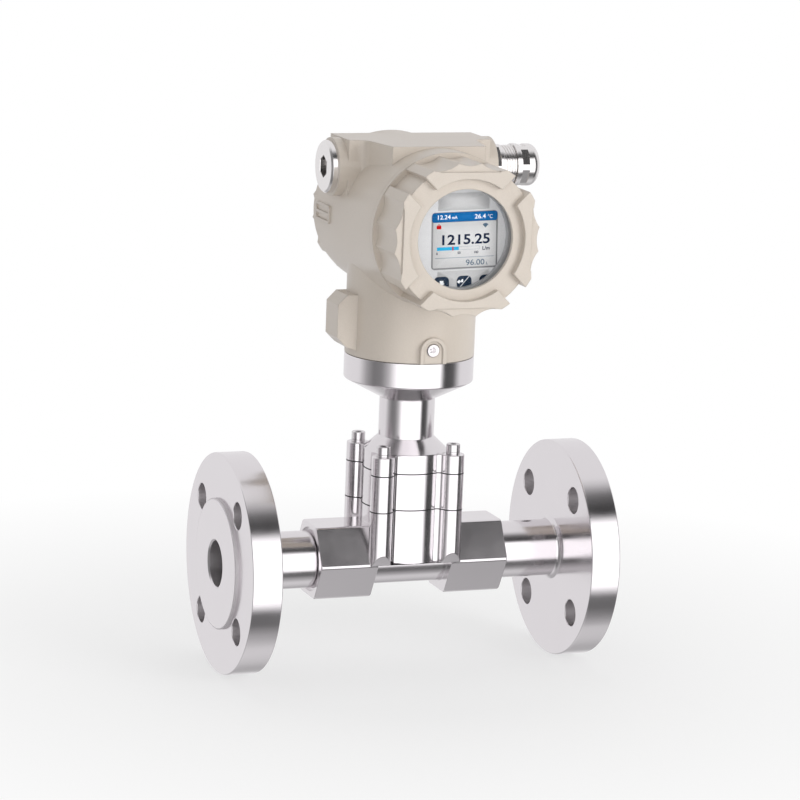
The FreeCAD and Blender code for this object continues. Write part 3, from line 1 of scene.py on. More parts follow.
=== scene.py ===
import math
import bmesh
import bpy
import numpy as np
from mathutils import Matrix


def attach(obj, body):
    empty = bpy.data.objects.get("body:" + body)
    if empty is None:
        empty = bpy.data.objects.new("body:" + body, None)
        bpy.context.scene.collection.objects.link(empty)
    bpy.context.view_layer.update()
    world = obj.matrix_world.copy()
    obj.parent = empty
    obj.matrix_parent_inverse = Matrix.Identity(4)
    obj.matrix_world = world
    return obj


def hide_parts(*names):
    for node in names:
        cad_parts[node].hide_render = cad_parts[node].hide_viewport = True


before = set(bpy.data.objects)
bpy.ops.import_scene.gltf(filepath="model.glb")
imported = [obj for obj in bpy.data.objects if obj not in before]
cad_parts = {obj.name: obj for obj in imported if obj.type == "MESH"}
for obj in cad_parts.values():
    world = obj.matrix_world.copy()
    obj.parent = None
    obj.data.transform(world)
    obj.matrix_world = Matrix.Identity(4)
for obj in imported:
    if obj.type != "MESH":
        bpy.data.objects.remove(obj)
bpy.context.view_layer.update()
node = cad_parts
MM = 0.001
PIPE_MIDDLE = 102.5


# Camera
# It stands where the photograph was taken from, fitted to both flanges, with the photograph's long lens.
# Its angles are about the upright, the height above the horizon and the roll about the line of sight.

CAMERA_DISTANCE, FOCAL_PIXELS, PICTURE, SENSOR = 1803.762, 3466.962, 800, 36
SIGHT_ACROSS, SIGHT_DOWN = 388.08, 402.328

az, el, roll = np.radians([-20.667, 11.306, 2.227])
to_camera = np.array([math.sin(az) * math.cos(el), -math.cos(az) * math.cos(el), math.sin(el)])
level_right = np.cross(-to_camera, [0, 0, 1])
level_right /= np.linalg.norm(level_right)
level_up = np.cross(level_right, -to_camera)
camera_right = level_right * math.cos(roll) + level_up * math.sin(roll)
camera_up = level_up * math.cos(roll) - level_right * math.sin(roll)
looked_at = np.array([PIPE_MIDDLE - 10.597, 0.0, 81.852])
eye = (looked_at + to_camera * CAMERA_DISTANCE) * MM
camera = bpy.data.objects.new("camera", bpy.data.cameras.new("camera"))
bpy.context.scene.collection.objects.link(camera)
camera.matrix_world = Matrix(np.vstack([np.column_stack([camera_right, camera_up, to_camera, eye]),
                                        [0, 0, 0, 1]]).tolist())
camera.data.sensor_width = SENSOR
camera.data.lens = SENSOR * FOCAL_PIXELS / PICTURE
camera.data.shift_x = (PICTURE / 2 - SIGHT_ACROSS) / PICTURE
camera.data.shift_y = (SIGHT_DOWN - PICTURE / 2) / PICTURE
camera.data.clip_end = 20
bpy.context.scene.camera = camera
bpy.context.scene.view_settings.view_transform = "Standard"


# Studio
# A pale floor under the meter, three soft lamps, and a world that polished steel mirrors as a photographer's
# tent does: a bright panel ahead, black cards round it and pale cloth behind.

def lamp(name, place, aim, size, power):
    """A soft lamp at one point, pointing at another; polished steel doesn't mirror it."""
    data = bpy.data.lights.new(name, "AREA")
    data.shape = "RECTANGLE"
    data.size, data.size_y = size
    data.energy = power
    thing = bpy.data.objects.new(name, data)
    bpy.context.scene.collection.objects.link(thing)
    away = np.array(place, float) - np.array(aim, float)
    away /= np.linalg.norm(away)
    side = np.cross([0, 0, 1], away)
    side /= np.linalg.norm(side)
    turn = np.column_stack([side, np.cross(away, side), away, place])
    thing.matrix_world = Matrix(np.vstack([turn, [0, 0, 0, 1]]).tolist())
    thing.visible_glossy = False


middle_of_part = (0.1025, 0, 0.09)
lamp("key_lamp", (0.95, -1.35, 0.45), middle_of_part, (0.9, 0.9), 11)
lamp("fill_lamp", (-0.9, -1.2, 0.15), middle_of_part, (0.8, 0.8), 3.5)
lamp("top_lamp", (0.1, 0.5, 1.5), middle_of_part, (1.2, 1.0), 3)

FLOOR_HALF, FLOOR_HEIGHT = 6.0, -0.0585
FADE_START, FADE_END = 0.1, 0.42
square = ((-1, -1), (1, -1), (1, 1), (-1, 1))
floor_corners = [(x * FLOOR_HALF, y * FLOOR_HALF, FLOOR_HEIGHT) for x, y in square]
floor_mesh = bpy.data.meshes.new("floor")
floor_mesh.from_pydata(floor_corners, [], [(0, 1, 2, 3)])
floor = bpy.data.objects.new("floor", floor_mesh)
bpy.context.scene.collection.objects.link(floor)


def nodes_of(material):
    """A new material's node tree, its shader and a maker of linked nodes."""
    material.use_nodes = True
    tree = material.node_tree
    shader = tree.nodes["Principled BSDF"]

    def make(kind, **values):
        """One node, with its settings and its inputs; an input may be a value or another node's output."""
        made = tree.nodes.new(kind)
        for key, value in values.items():
            if key.startswith("set_"):
                setattr(made, key[4:], value)
                continue
            socket = made.inputs[int(key[3:])] if key[:3] == "at_" else made.inputs[key.replace("_", " ")]
            if isinstance(value, bpy.types.NodeSocket):
                tree.links.new(value, socket)
            else:
                socket.default_value = value
        return made

    return tree, shader, make


floor_material = bpy.data.materials.new("pale_floor")
tree, shader, make = nodes_of(floor_material)
shader.inputs["Base Color"].default_value = (0.90, 0.90, 0.90, 1)
shader.inputs["Roughness"].default_value = 0.9
shader.inputs["Specular IOR Level"].default_value = 0.0
rays = make("ShaderNodeLightPath").outputs
floor_place = make("ShaderNodeTexCoord").outputs["Object"]
from_part = make("ShaderNodeVectorMath", set_operation="DISTANCE", at_0=floor_place,
                 at_1=(0.1, 0, FLOOR_HEIGHT)).outputs["Value"]
fade = make("ShaderNodeMapRange", Value=from_part, From_Min=FADE_START, From_Max=FADE_END, To_Min=0.6,
            To_Max=1.0).outputs[0]
shown = make("ShaderNodeMath", set_operation="MULTIPLY", at_0=fade, at_1=rays["Is Camera Ray"]).outputs[0]
white = make("ShaderNodeEmission", Color=(1, 1, 1, 1), Strength=1.0).outputs[0]
lit = make("ShaderNodeMixShader", at_0=shown, at_1=shader.outputs[0], at_2=white).outputs[0]
clear = make("ShaderNodeBsdfTransparent").outputs[0]
laid = make("ShaderNodeMixShader", at_0=rays["Is Glossy Ray"], at_1=lit, at_2=clear).outputs[0]
tree.links.new(laid, tree.nodes["Material Output"].inputs["Surface"])
floor_mesh.materials.append(floor_material)

world = bpy.data.worlds.new("tent")
bpy.context.scene.world = world
world.use_nodes = True
tent = world.node_tree
tent.nodes.clear()


CLOTH, CARDS_DARKER, PANEL_BRIGHTER = 0.86, 0.81, 0.75


def tent_node(kind, *inputs, **settings):
    """One node of the world, its inputs given in order as values or as other nodes' outputs."""
    made = tent.nodes.new(kind)
    for key, value in settings.items():
        setattr(made, key, value)
    for place, value in enumerate(inputs):
        if isinstance(value, bpy.types.NodeSocket):
            tent.links.new(value, made.inputs[place])
        else:
            made.inputs[place].default_value = value
    return made


def tent_math(operation, *inputs):
    """The output of one operation on values."""
    return tent_node("ShaderNodeMath", *inputs, operation=operation).outputs[0]


def tent_ramp(value, stops):
    """Brightness along one angle: pairs of an angle in degrees and a grey value, black at either end."""
    stops = [(-180, 0.0), *stops, (180, 0.0)]
    share = tent_math("ADD", tent_math("DIVIDE", value, 2 * math.pi), 0.5)
    ramp = tent_node("ShaderNodeValToRGB", share)
    band = ramp.color_ramp
    while len(band.elements) < len(stops):
        band.elements.new(0.5)
    for element, (angle, grey) in zip(band.elements, stops):
        element.position = angle / 360 + 0.5
        element.color = (grey, grey, grey, 1)
    return ramp.outputs[0]


looking = tent_node("ShaderNodeTexCoord").outputs["Generated"]
parts = tent_node("ShaderNodeSeparateXYZ", looking).outputs
turned = tent_math("ARCTAN2", parts[0], tent_math("MULTIPLY", parts[1], -1.0))
around = tent_math("SUBTRACT", turned, float(az))
around = tent_math("WRAP", around, math.pi, -math.pi)
height = tent_math("ARCSINE", parts[2])
side_cards = tent_ramp(around, [(-98, 0.0), (-80, 0.55), (-64, 0.8), (-48, 0.75), (-20, 0.0), (57, 0.0),
                                (66, 1.0), (88, 0.9), (104, 0.0)])
panel_wide = tent_ramp(around, [(-34, 0.0), (-14, 1.0), (57, 1.0), (66, 0.0)])
ahead = tent_ramp(around, [(-100, 0.0), (-60, 1.0), (80, 1.0), (110, 0.0)])
panel_high = tent_ramp(height, [(-38, 0.0), (-27, 1.0), (33, 1.0), (42, 0.0)])
high_cards = tent_ramp(height, [(32, 0.0), (40, 1.0), (47, 1.0), (58, 0.86), (71, 0.0)])
low_cards = tent_ramp(height, [(-82, 0.0), (-72, 0.25), (-62, 0.5), (-51, 0.85), (-38, 0.85), (-27, 0.0)])
side_high = tent_ramp(height, [(-70, 0.3), (-50, 1.0), (40, 1.0), (60, 0.2), (70, 0.0)])
low_ahead = tent_math("MAXIMUM", ahead, 0.55)
cards = tent_math("MAXIMUM", tent_math("MULTIPLY", side_cards, side_high),
                  tent_math("MAXIMUM", tent_math("MULTIPLY", high_cards, ahead),
                            tent_math("MULTIPLY", low_cards, low_ahead)))
panel = tent_math("MULTIPLY", panel_wide, panel_high)
cloth = tent_math("SUBTRACT", CLOTH, tent_math("MULTIPLY", cards, CARDS_DARKER))
mirrored = tent_math("ADD", cloth, tent_math("MULTIPLY", panel, PANEL_BRIGHTER))
path = tent_node("ShaderNodeLightPath").outputs
soft_light = tent_node("ShaderNodeBackground", (1, 1, 1, 1), 0.5)
seen = tent_node("ShaderNodeBackground", (1, 1, 1, 1), 1.0)
tent_seen = tent_node("ShaderNodeBackground", (1.0, 0.985, 1.0, 1), mirrored)
glossy = tent_node("ShaderNodeMixShader", path["Is Glossy Ray"], soft_light.outputs[0], tent_seen.outputs[0])
through = tent_math("MAXIMUM", path["Is Camera Ray"], path["Is Transmission Ray"])
last = tent_node("ShaderNodeMixShader", through, glossy.outputs[0], seen.outputs[0])
tent_node("ShaderNodeOutputWorld", last.outputs[0])


# Flanges
# Two turned plates of stainless steel for 25 mm pipe, each with four bolt holes and a raised sealing face.
# The plate is turned all over, which leaves fine rings on it, and its edges are broken.

MERGE = 2e-6


def two_tones(make, mask, colour, spread):
    """A colour that drifts, as the mask says, from a little darker than itself to a little lighter."""
    dark, light = [(*[min(1, c * share) for c in colour], 1) for share in (1 - spread, 1 + spread)]
    return make("ShaderNodeMix", set_data_type="RGBA", at_0=mask, at_6=dark, at_7=light).outputs[2]


def cover_with(mesh, material):
    """Leaves one material on a mesh."""
    mesh.materials.clear()
    mesh.materials.append(material)


def steel(name, colour=(0.80, 0.775, 0.79), rough=0.17, ring_pitch=None, ring_depth=0.0):
    """Machined steel: a clean metal with slow changes of polish and, round the pipe, the lathe's fine rings."""
    material = bpy.data.materials.new(name)
    tree, shader, make = nodes_of(material)
    shader.inputs["Metallic"].default_value = 1.0
    place = make("ShaderNodeTexCoord").outputs["Object"]
    clouds = make("ShaderNodeTexNoise", Vector=place, Scale=38.0, Detail=4.0, Roughness=0.55).outputs[0]
    fine = make("ShaderNodeTexNoise", Vector=place, Scale=1400.0, Detail=2.0, Roughness=0.5).outputs[0]
    polish = make("ShaderNodeMapRange", Value=clouds, From_Min=0.3, From_Max=0.7, To_Min=rough - 0.03,
                  To_Max=rough + 0.05).outputs[0]
    tree.links.new(polish, shader.inputs["Roughness"])
    tree.links.new(two_tones(make, clouds, colour, 0.03), shader.inputs["Base Color"])
    height, strength = fine, 0.02
    if ring_pitch:
        spread = make("ShaderNodeVectorMath", set_operation="MULTIPLY", at_0=place,
                      at_1=(0.0, 1.0, 1.0)).outputs[0]
        reach = make("ShaderNodeVectorMath", set_operation="LENGTH", at_0=spread).outputs["Value"]
        turns = make("ShaderNodeMath", set_operation="MULTIPLY", at_0=reach,
                     at_1=2 * math.pi / (ring_pitch * MM)).outputs[0]
        ring = make("ShaderNodeMath", set_operation="SINE", at_0=turns).outputs[0]
        height = make("ShaderNodeMath", set_operation="MULTIPLY_ADD", at_0=ring, at_1=0.5, at_2=fine).outputs[0]
        strength = ring_depth
    bump = make("ShaderNodeBump", Height=height, Strength=strength, Distance=0.0002)
    tree.links.new(bump.outputs[0], shader.inputs["Normal"])
    return material


def eased(corners, radii, steps=5):
    """Rounds a closed outline: at each corner a circular arc, written as a weighted blend of its two tangent
    points and the corner itself. An arc takes less than half of the shorter side."""
    corners = np.asarray(corners, float)
    before = np.roll(corners, 1, 0) - corners
    after = np.roll(corners, -1, 0) - corners
    len_b = np.linalg.norm(before, axis=1)
    len_a = np.linalg.norm(after, axis=1)
    before /= len_b[:, None]
    after /= len_a[:, None]
    half = np.arccos(np.clip((before * after).sum(1), -1, 1)) / 2
    reach = np.minimum(np.broadcast_to(radii, half.shape) / np.tan(half), np.minimum(len_b, len_a) * 0.45)
    start = corners + before * reach[:, None]
    end = corners + after * reach[:, None]
    t = np.linspace(0, 1, steps)[None, :, None]
    pull = 2 * np.sin(half)[:, None, None] * t * (1 - t)
    arc = ((1 - t) ** 2 * start[:, None] + pull * corners[:, None] + t ** 2 * end[:, None])
    arc /= (1 - t) ** 2 + pull + t ** 2
    return arc.reshape(-1, corners.shape[1])


def piece(name, patches, body, material, stands_for=(), smooth=True):
    """One mesh from grids of points: neighbours in a grid are joined, equal points are merged and faces are
    turned outwards. The piece rides on its body and stands for its nodes."""
    points, quads, base = [], [], 0
    for grid in patches:
        rows, columns = grid.shape[:2]
        index = base + np.arange(rows * columns).reshape(rows, columns)
        corners = np.stack([index[:-1, :-1], index[:-1, 1:], index[1:, 1:], index[1:, :-1]], -1)
        quads.append(corners.reshape(-1, 4))
        points.append(grid.reshape(-1, 3) * MM)
        base += rows * columns
    points, quads = np.concatenate(points), np.concatenate(quads)
    mesh = bpy.data.meshes.new(name)
    mesh.vertices.add(len(points))
    mesh.vertices.foreach_set("co", points.astype(np.float32).ravel())
    mesh.loops.add(quads.size)
    mesh.loops.foreach_set("vertex_index", quads.astype(np.int32).ravel())
    mesh.polygons.add(len(quads))
    mesh.polygons.foreach_set("loop_start", np.arange(0, quads.size, 4, dtype=np.int32))
    mesh.update(calc_edges=True)
    whole = bmesh.new()
    whole.from_mesh(mesh)
    bmesh.ops.remove_doubles(whole, verts=whole.verts, dist=MERGE)
    bmesh.ops.dissolve_degenerate(whole, edges=whole.edges, dist=1e-7)
    bmesh.ops.recalc_face_normals(whole, faces=whole.faces)
    whole.to_mesh(mesh)
    whole.free()
    return finished(name, mesh, body, material, stands_for, smooth)


def finished(name, mesh, body, material, stands_for, smooth=True):
    """Puts a made mesh into the scene as a piece of the object; large faces keep flat shading."""
    thing = bpy.data.objects.new(name, mesh)
    bpy.context.scene.collection.objects.link(thing)
    cover_with(mesh, material)
    if smooth:
        mesh.shade_smooth()
        mesh.set_sharp_from_angle(angle=math.radians(38))
        shade = thing.modifiers.new("even_shading", "WEIGHTED_NORMAL")
        shade.keep_sharp = True
        shade.weight = 90
    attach(thing, body)
    if stands_for:
        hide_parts(*stands_for)
    return thing


def carried(radius, height, angle, axis, place):
    """Points round an axis of the frame, one column for each direction; the height runs along the axis."""
    one, two, along = radius * np.cos(angle), radius * np.sin(angle), height + 0 * angle
    order = {0: (along, one, two), 1: (one, along, two), 2: (one, two, along)}[axis]
    return np.stack(order, -1) + np.asarray(place, float)


def round_about(outline, axis, place, columns=96, start=0.0):
    """Carries an outline of (radius, height) once round an axis of the frame."""
    outline = np.asarray(outline, float)
    angle = start + np.linspace(0, 2 * np.pi, columns + 1)
    return carried(outline[:, :1], outline[:, 1:], angle, axis, place)


def closed(outline):
    """The same outline with its first point again at the end."""
    return np.concatenate([outline, outline[:1]])


FLANGE_RADIUS, FACE_RADIUS, BORE_RADIUS, PITCH_RADIUS, HOLE_RADIUS = 57.5, 34.0, 12.0, 42.5, 7.0
FLANGE_END, FACE_STEP, HOLE_EASE, RIM_EASE, BORE_EASE = 18.0, 2.0, 0.5, 0.7, 0.8
HOLE_TURNS = [math.radians(45 - 3.2) + k * np.pi / 2 for k in range(4)]
ARC_STEPS, SPOKE_STEPS = 24, 6


def round_hole():
    """Directions round a bolt hole, one for each point of its quarter's border. They are spread so that no
    line from the hole's edge to the border cuts across the raised face."""
    spans = [(260, 100, ARC_STEPS), (100, 85, SPOKE_STEPS), (85, -85, ARC_STEPS), (-85, -100, SPOKE_STEPS)]
    stretches = [np.linspace(first, last, count + 1)[:-1] for first, last, count in spans]
    return np.radians(np.concatenate(stretches + [[-100]]))


def holed_ring(inner, outer, x, hole):
    """A flat ring with four holes: in each quarter, straight lines run from the hole's edge to the quarter's
    border, which is two arcs and two spokes."""
    sweep = np.linspace(-np.pi / 4, np.pi / 4, ARC_STEPS + 1)
    spoke = np.linspace(inner, outer, SPOKE_STEPS + 1)
    edge_r = np.concatenate([np.full(ARC_STEPS, inner), spoke[:-1], np.full(ARC_STEPS, outer), spoke[::-1]])
    edge_a = np.concatenate([sweep[:-1], np.full(SPOKE_STEPS, sweep[-1]), sweep[::-1][:-1],
                             np.full(SPOKE_STEPS + 1, sweep[0])])
    border = np.stack([edge_r * np.cos(edge_a), edge_r * np.sin(edge_a)], -1)
    way = round_hole()
    rim = np.stack([np.cos(way), np.sin(way)], -1) * hole + [PITCH_RADIUS, 0]
    t = np.linspace(0, 1, 4)[:, None, None]
    flat = rim * (1 - t) + border * t
    grids = []
    for turn in HOLE_TURNS:
        y = flat[..., 0] * math.cos(turn) - flat[..., 1] * math.sin(turn)
        z = flat[..., 0] * math.sin(turn) + flat[..., 1] * math.cos(turn)
        grids.append(np.stack([0 * y + x, y, z], -1))
    return grids


def mirrored_over(patches):
    """The grids seen in a mirror that stands across the meter's middle."""
    return [grid * [-1, 1, 1] + [2 * PIPE_MIDDLE, 0, 0] for grid in patches]


def flange(name, flip):
    """Rim, raised face and bore are carried round the axis; the two holed rings and the eased hole walls join
    them. The steps and the drilled walls are rougher than the rest."""
    first = HOLE_TURNS[0] - np.pi / 4
    arc = np.linspace(0, np.pi / 2, 5)
    front_rim = np.stack([FLANGE_RADIUS - RIM_EASE + RIM_EASE * np.sin(arc),
                          FACE_STEP + RIM_EASE - RIM_EASE * np.cos(arc)], -1)
    back_rim = np.stack([front_rim[::-1, 0], FACE_STEP + FLANGE_END - front_rim[::-1, 1]], -1)
    face = [[FACE_RADIUS, FACE_STEP], [FACE_RADIUS, 0.4], [FACE_RADIUS - 0.3, 0.1], [FACE_RADIUS - 0.7, 0.0],
            [BORE_RADIUS + BORE_EASE, 0.0], [BORE_RADIUS, BORE_EASE], [BORE_RADIUS, FLANGE_END]]
    patches = [round_about(line, 0, (0, 0, 0), 4 * ARC_STEPS, first)
               for line in (np.concatenate([front_rim, back_rim]), face)]
    for inner, x in ((FACE_RADIUS, FACE_STEP), (BORE_RADIUS, FLANGE_END)):
        patches += holed_ring(inner, FLANGE_RADIUS - RIM_EASE, x, HOLE_RADIUS + HOLE_EASE)
    front = np.stack([HOLE_RADIUS + HOLE_EASE * (1 - np.sin(arc)),
                      FACE_STEP + HOLE_EASE * (1 - np.cos(arc))], -1)
    back = np.stack([front[::-1, 0], FACE_STEP + FLANGE_END - front[::-1, 1]], -1)
    wall = np.concatenate([front, back])
    for turn in HOLE_TURNS:
        middle = (0, PITCH_RADIUS * math.cos(turn), PITCH_RADIUS * math.sin(turn))
        patches.append(carried(wall[:, :1], wall[:, 1:], round_hole() + turn, 0, middle))
    if flip:
        patches = mirrored_over(patches)
    finish_of = steel(name + "_turned_steel", rough=0.16, ring_pitch=0.55, ring_depth=0.035)
    plate = piece(name + "_plate", patches, "meter", finish_of, (name,))
    mesh = plate.data
    mesh.materials.append(step_steel)
    mesh.materials.append(drilled_steel)
    middles = np.zeros(len(mesh.polygons) * 3, np.float32)
    mesh.polygons.foreach_get("center", middles)
    middles = middles.reshape(-1, 3) / MM
    reach = np.hypot(middles[:, 1], middles[:, 2])
    off_face = np.where(flip, 2 * PIPE_MIDDLE - middles[:, 0], middles[:, 0])
    step = (reach > FACE_RADIUS - 1.0) & (reach < FACE_RADIUS + 0.01)
    step &= (off_face > 0.01) & (off_face < FACE_STEP)
    drilled = reach < BORE_RADIUS + 0.05
    for turn in HOLE_TURNS:
        off = middles[:, 1:] - PITCH_RADIUS * np.array([math.cos(turn), math.sin(turn)])
        drilled |= np.hypot(off[:, 0], off[:, 1]) < HOLE_RADIUS + 0.02
    mesh.polygons.foreach_set("material_index", (step + 2 * drilled).astype(np.int32))


step_steel = steel("coarse_turned_steel", rough=0.7)
drilled_steel = steel("drilled_steel", rough=0.4, colour=(0.72, 0.70, 0.71))
flange("inlet_flange", False)
flange("outlet_flange", True)


# Pipes
# Short lengths of stainless pipe, pushed into the body and welded to the back of each flange.
# The weld is a fillet whose ripples were left as the torch went round.

PIPE_RADIUS, PIPE_BORE_RADIUS, PIPE_END, PIPE_EASE = 15.0, 12.5, 54.9, 0.5
WELD_START, WELD_LEG, WELD_HOLLOW, RIPPLE, RIPPLES = FLANGE_END + 0.02, 2.0, 0.35, 0.05, 64


def welded_pipe(name, flip):
    """The pipe's outline goes round the axis; on the fillet the radius also rises and falls round the pipe."""
    leg = np.linspace(0, 1, 9)[:, None]
    angle = np.linspace(0, 2 * np.pi, 193)
    hollow = (RIPPLE * np.sin(angle * RIPPLES) - WELD_HOLLOW) * np.sin(np.pi * leg)
    radius = PIPE_RADIUS + WELD_LEG * (1 - leg) + hollow
    weld = carried(radius, WELD_START + WELD_LEG * leg, angle, 0, (0, 0, 0))
    line = [[PIPE_RADIUS, WELD_START + WELD_LEG], [PIPE_RADIUS, PIPE_END - PIPE_EASE],
            [PIPE_RADIUS - PIPE_EASE, PIPE_END], [PIPE_BORE_RADIUS, PIPE_END], [PIPE_BORE_RADIUS, FLANGE_END],
            [PIPE_RADIUS + WELD_LEG, FLANGE_END], [PIPE_RADIUS + WELD_LEG, WELD_START]]
    patches = [weld, round_about(line, 0, (0, 0, 0), 192)]
    if flip:
        patches = mirrored_over(patches)
    piece(name + "_tube", patches, "meter", pipe_steel, (name,))


pipe_steel = steel("drawn_pipe_steel", rough=0.15)
welded_pipe("inlet_pipe", False)
welded_pipe("outlet_pipe", True)


# Body, spacer block and stem
# All three are machined from solid stainless steel and share the outline with four ears for the cap screws.
# Their edges are broken by three tenths, which catches the light as a thin line.

BLOCK_EDGE, HOUSING_EDGE, COVER_EDGE = 0.3, 0.5, 0.35


def softened_copy(name, new_name, body, material, width, cast=False):
    """A copy of a solid with its seams merged, its flat faces made whole and its edges rounded; a casting's are
    rounded more finely, and less where a face is too narrow for it."""
    mesh = node[name].data.copy()
    mesh.name = new_name
    whole = bmesh.new()
    whole.from_mesh(mesh)
    bmesh.ops.remove_doubles(whole, verts=whole.verts, dist=MERGE)
    bmesh.ops.dissolve_limit(whole, angle_limit=math.radians(0.6), verts=whole.verts, edges=whole.edges)
    whole.to_mesh(mesh)
    whole.free()
    thing = finished(new_name, mesh, body, material, (name,))
    round_off = thing.modifiers.new("broken_edges", "BEVEL")
    round_off.width = width * MM
    round_off.segments = 3 if cast else 2
    round_off.limit_method = "ANGLE"
    round_off.angle_limit = math.radians(28 if cast else 30)
    round_off.harden_normals = False
    round_off.use_clamp_overlap = cast
    thing.modifiers.move(1, 0)


milled = steel("milled_body_steel", rough=0.15)
for name, new_name in (("meter_body", "body_block"), ("spacer_block", "middle_block"), ("stem", "stem_block")):
    softened_copy(name, new_name, "meter", milled, BLOCK_EDGE)

SCREW_HALF_PITCH, CHAMBER_RADIUS, EAR_RADIUS, EAR_FILLET = 19.25, 22.0, 6.0, 3.0
EAR_REACH = SCREW_HALF_PITCH * math.sqrt(2)
JOINT_HEIGHTS, JOINT_HALF, JOINT_PROUD, JOINT_DEPTH = (28.5, 47.7), 0.3, 0.03, 0.5


def eared_plan(inset):
    """The blocks' outline from above, drawn in a little: for each quarter, half the chamber's arc, a hollow
    arc into the ear, the ear's arc, a hollow arc back and the other half of the chamber's arc."""
    near, far = CHAMBER_RADIUS + EAR_FILLET, EAR_RADIUS + EAR_FILLET
    swing = math.acos((near ** 2 + EAR_REACH ** 2 - far ** 2) / (2 * near * EAR_REACH))
    lean = math.acos((far ** 2 + EAR_REACH ** 2 - near ** 2) / (2 * far * EAR_REACH))
    hollow = np.array([near * math.cos(swing), near * math.sin(swing)])
    round_arc = np.linspace(np.pi / 4, swing, 12)
    hollow_arc = np.linspace(swing - np.pi, -lean, 12)
    ear_arc = np.linspace(np.pi - lean, 0, 12)
    one = np.concatenate([
        np.stack([np.cos(round_arc), np.sin(round_arc)], -1) * (CHAMBER_RADIUS - inset),
        hollow + np.stack([np.cos(hollow_arc), np.sin(hollow_arc)], -1) * (EAR_FILLET + inset),
        [EAR_REACH, 0] + np.stack([np.cos(ear_arc), np.sin(ear_arc)], -1) * (EAR_RADIUS - inset)])
    quarter = np.concatenate([one, (one * [1, -1])[::-1][1:]])
    turns = np.pi / 4 - np.arange(4) * np.pi / 2
    x = quarter[:, 0] * np.cos(turns)[:, None] - quarter[:, 1] * np.sin(turns)[:, None]
    y = quarter[:, 0] * np.sin(turns)[:, None] + quarter[:, 1] * np.cos(turns)[:, None]
    return closed(np.stack([x.ravel(), y.ravel()], -1))


def joint_line(height):
    """A low band along the blocks' outline, closed above and below towards the middle, that carries the painted
    shade of the gap between two blocks.
    """
    plan = np.stack([eared_plan(inset) for inset in (JOINT_DEPTH, -JOINT_PROUD, -JOINT_PROUD, JOINT_DEPTH)])
    level = height + np.array([-1, -1, 1, 1])[:, None] * JOINT_HALF + 0 * plan[..., 0]
    return np.stack([plan[..., 0] + PIPE_MIDDLE, plan[..., 1], level], -1)


# Painted shade: the joint bands are near black to stand for the shadow in the thin gap where two blocks meet.
gap_shade_black = bpy.data.materials.new("gap_shade_black")
tree, shader, make = nodes_of(gap_shade_black)
gap_shade_place = make("ShaderNodeTexCoord").outputs["Object"]
gap_shade_grain = make("ShaderNodeTexNoise", Vector=gap_shade_place, Scale=900.0).outputs[0]
gap_shade_tone = make("ShaderNodeMapRange", Value=gap_shade_grain, To_Min=0.008, To_Max=0.02).outputs[0]
tree.links.new(gap_shade_tone, shader.inputs["Base Color"])
shader.inputs["Roughness"].default_value = 0.8
piece("joint_lines", [joint_line(height) for height in JOINT_HEIGHTS], "meter", gap_shade_black, smooth=False)


# Cap screws and washers
# Four socket-head screws clamp plate, spacer and body; each sits on a split spring washer.
# The heads are turned with a rounded top edge and a hexagon socket.

SCREW_FOOT, SCREW_SEAT, SHANK_RADIUS, HEAD_RADIUS, HEAD_EASE = 18.6, 58.7, 2.0, 3.6, 0.5
HEAD_TOP, SOCKET_RIM, SOCKET_ACROSS, SOCKET_DEPTH = SCREW_SEAT + 4.2, 2.1, 3.0, 2.1


def hexagon(angle, across):
    """How far a hexagon's edge is from its middle, for each direction."""
    return across / 2 / np.cos((angle + np.pi / 6) % (np.pi / 3) - np.pi / 6)


def hexagon_socket(across, rim, levels, axis, place):
    """A six-sided hole: from a round rim to the wall's top, down the wall and over the floor to its middle."""
    angle = np.linspace(0, 2 * np.pi, 49)
    wall = hexagon(angle, across)
    radius = np.stack([0 * angle + rim, wall, wall, 0 * angle])
    return carried(radius, np.array([*levels, levels[-1]])[:, None], angle, axis, place)


def cap_screw(place):
    """Head, shank and the shank's foot go round the upright axis; the socket meets the head's inner rim."""
    arc = np.linspace(0, np.pi / 2, 5)
    edge = [HEAD_RADIUS, HEAD_TOP] + HEAD_EASE * (np.stack([np.cos(arc), np.sin(arc)], -1) - 1)
    line = np.concatenate([[[0.0, SCREW_FOOT], [SHANK_RADIUS, SCREW_FOOT], [SHANK_RADIUS, SCREW_SEAT],
                            [HEAD_RADIUS - 0.15, SCREW_SEAT], [HEAD_RADIUS, SCREW_SEAT + 0.15]],
                           edge, [[SOCKET_RIM, HEAD_TOP]]])
    levels = (HEAD_TOP, HEAD_TOP - 0.25, HEAD_TOP - SOCKET_DEPTH)
    return [round_about(line, 2, place, 48), hexagon_socket(SOCKET_ACROSS, SOCKET_RIM, levels, 2, place)]


screw_steel = steel("screw_steel", colour=(0.74, 0.72, 0.73), rough=0.2)
spots = [(PIPE_MIDDLE + sx * SCREW_HALF_PITCH, sy * SCREW_HALF_PITCH, 0) for sx in (-1, 1) for sy in (-1, 1)]
piece("cap_screw_set", [grid for spot in spots for grid in cap_screw(spot)], "meter", screw_steel,
      ("cap_screws",))
cover_with(node["spring_washers"].data, screw_steel)


# Cup and neck seal
# A turned steel cup pressed on the stem's spigot; the head swivels on its upper part.
# Only its cone and its rim show; the spigot above has a groove for the seal and one for the lock screw.

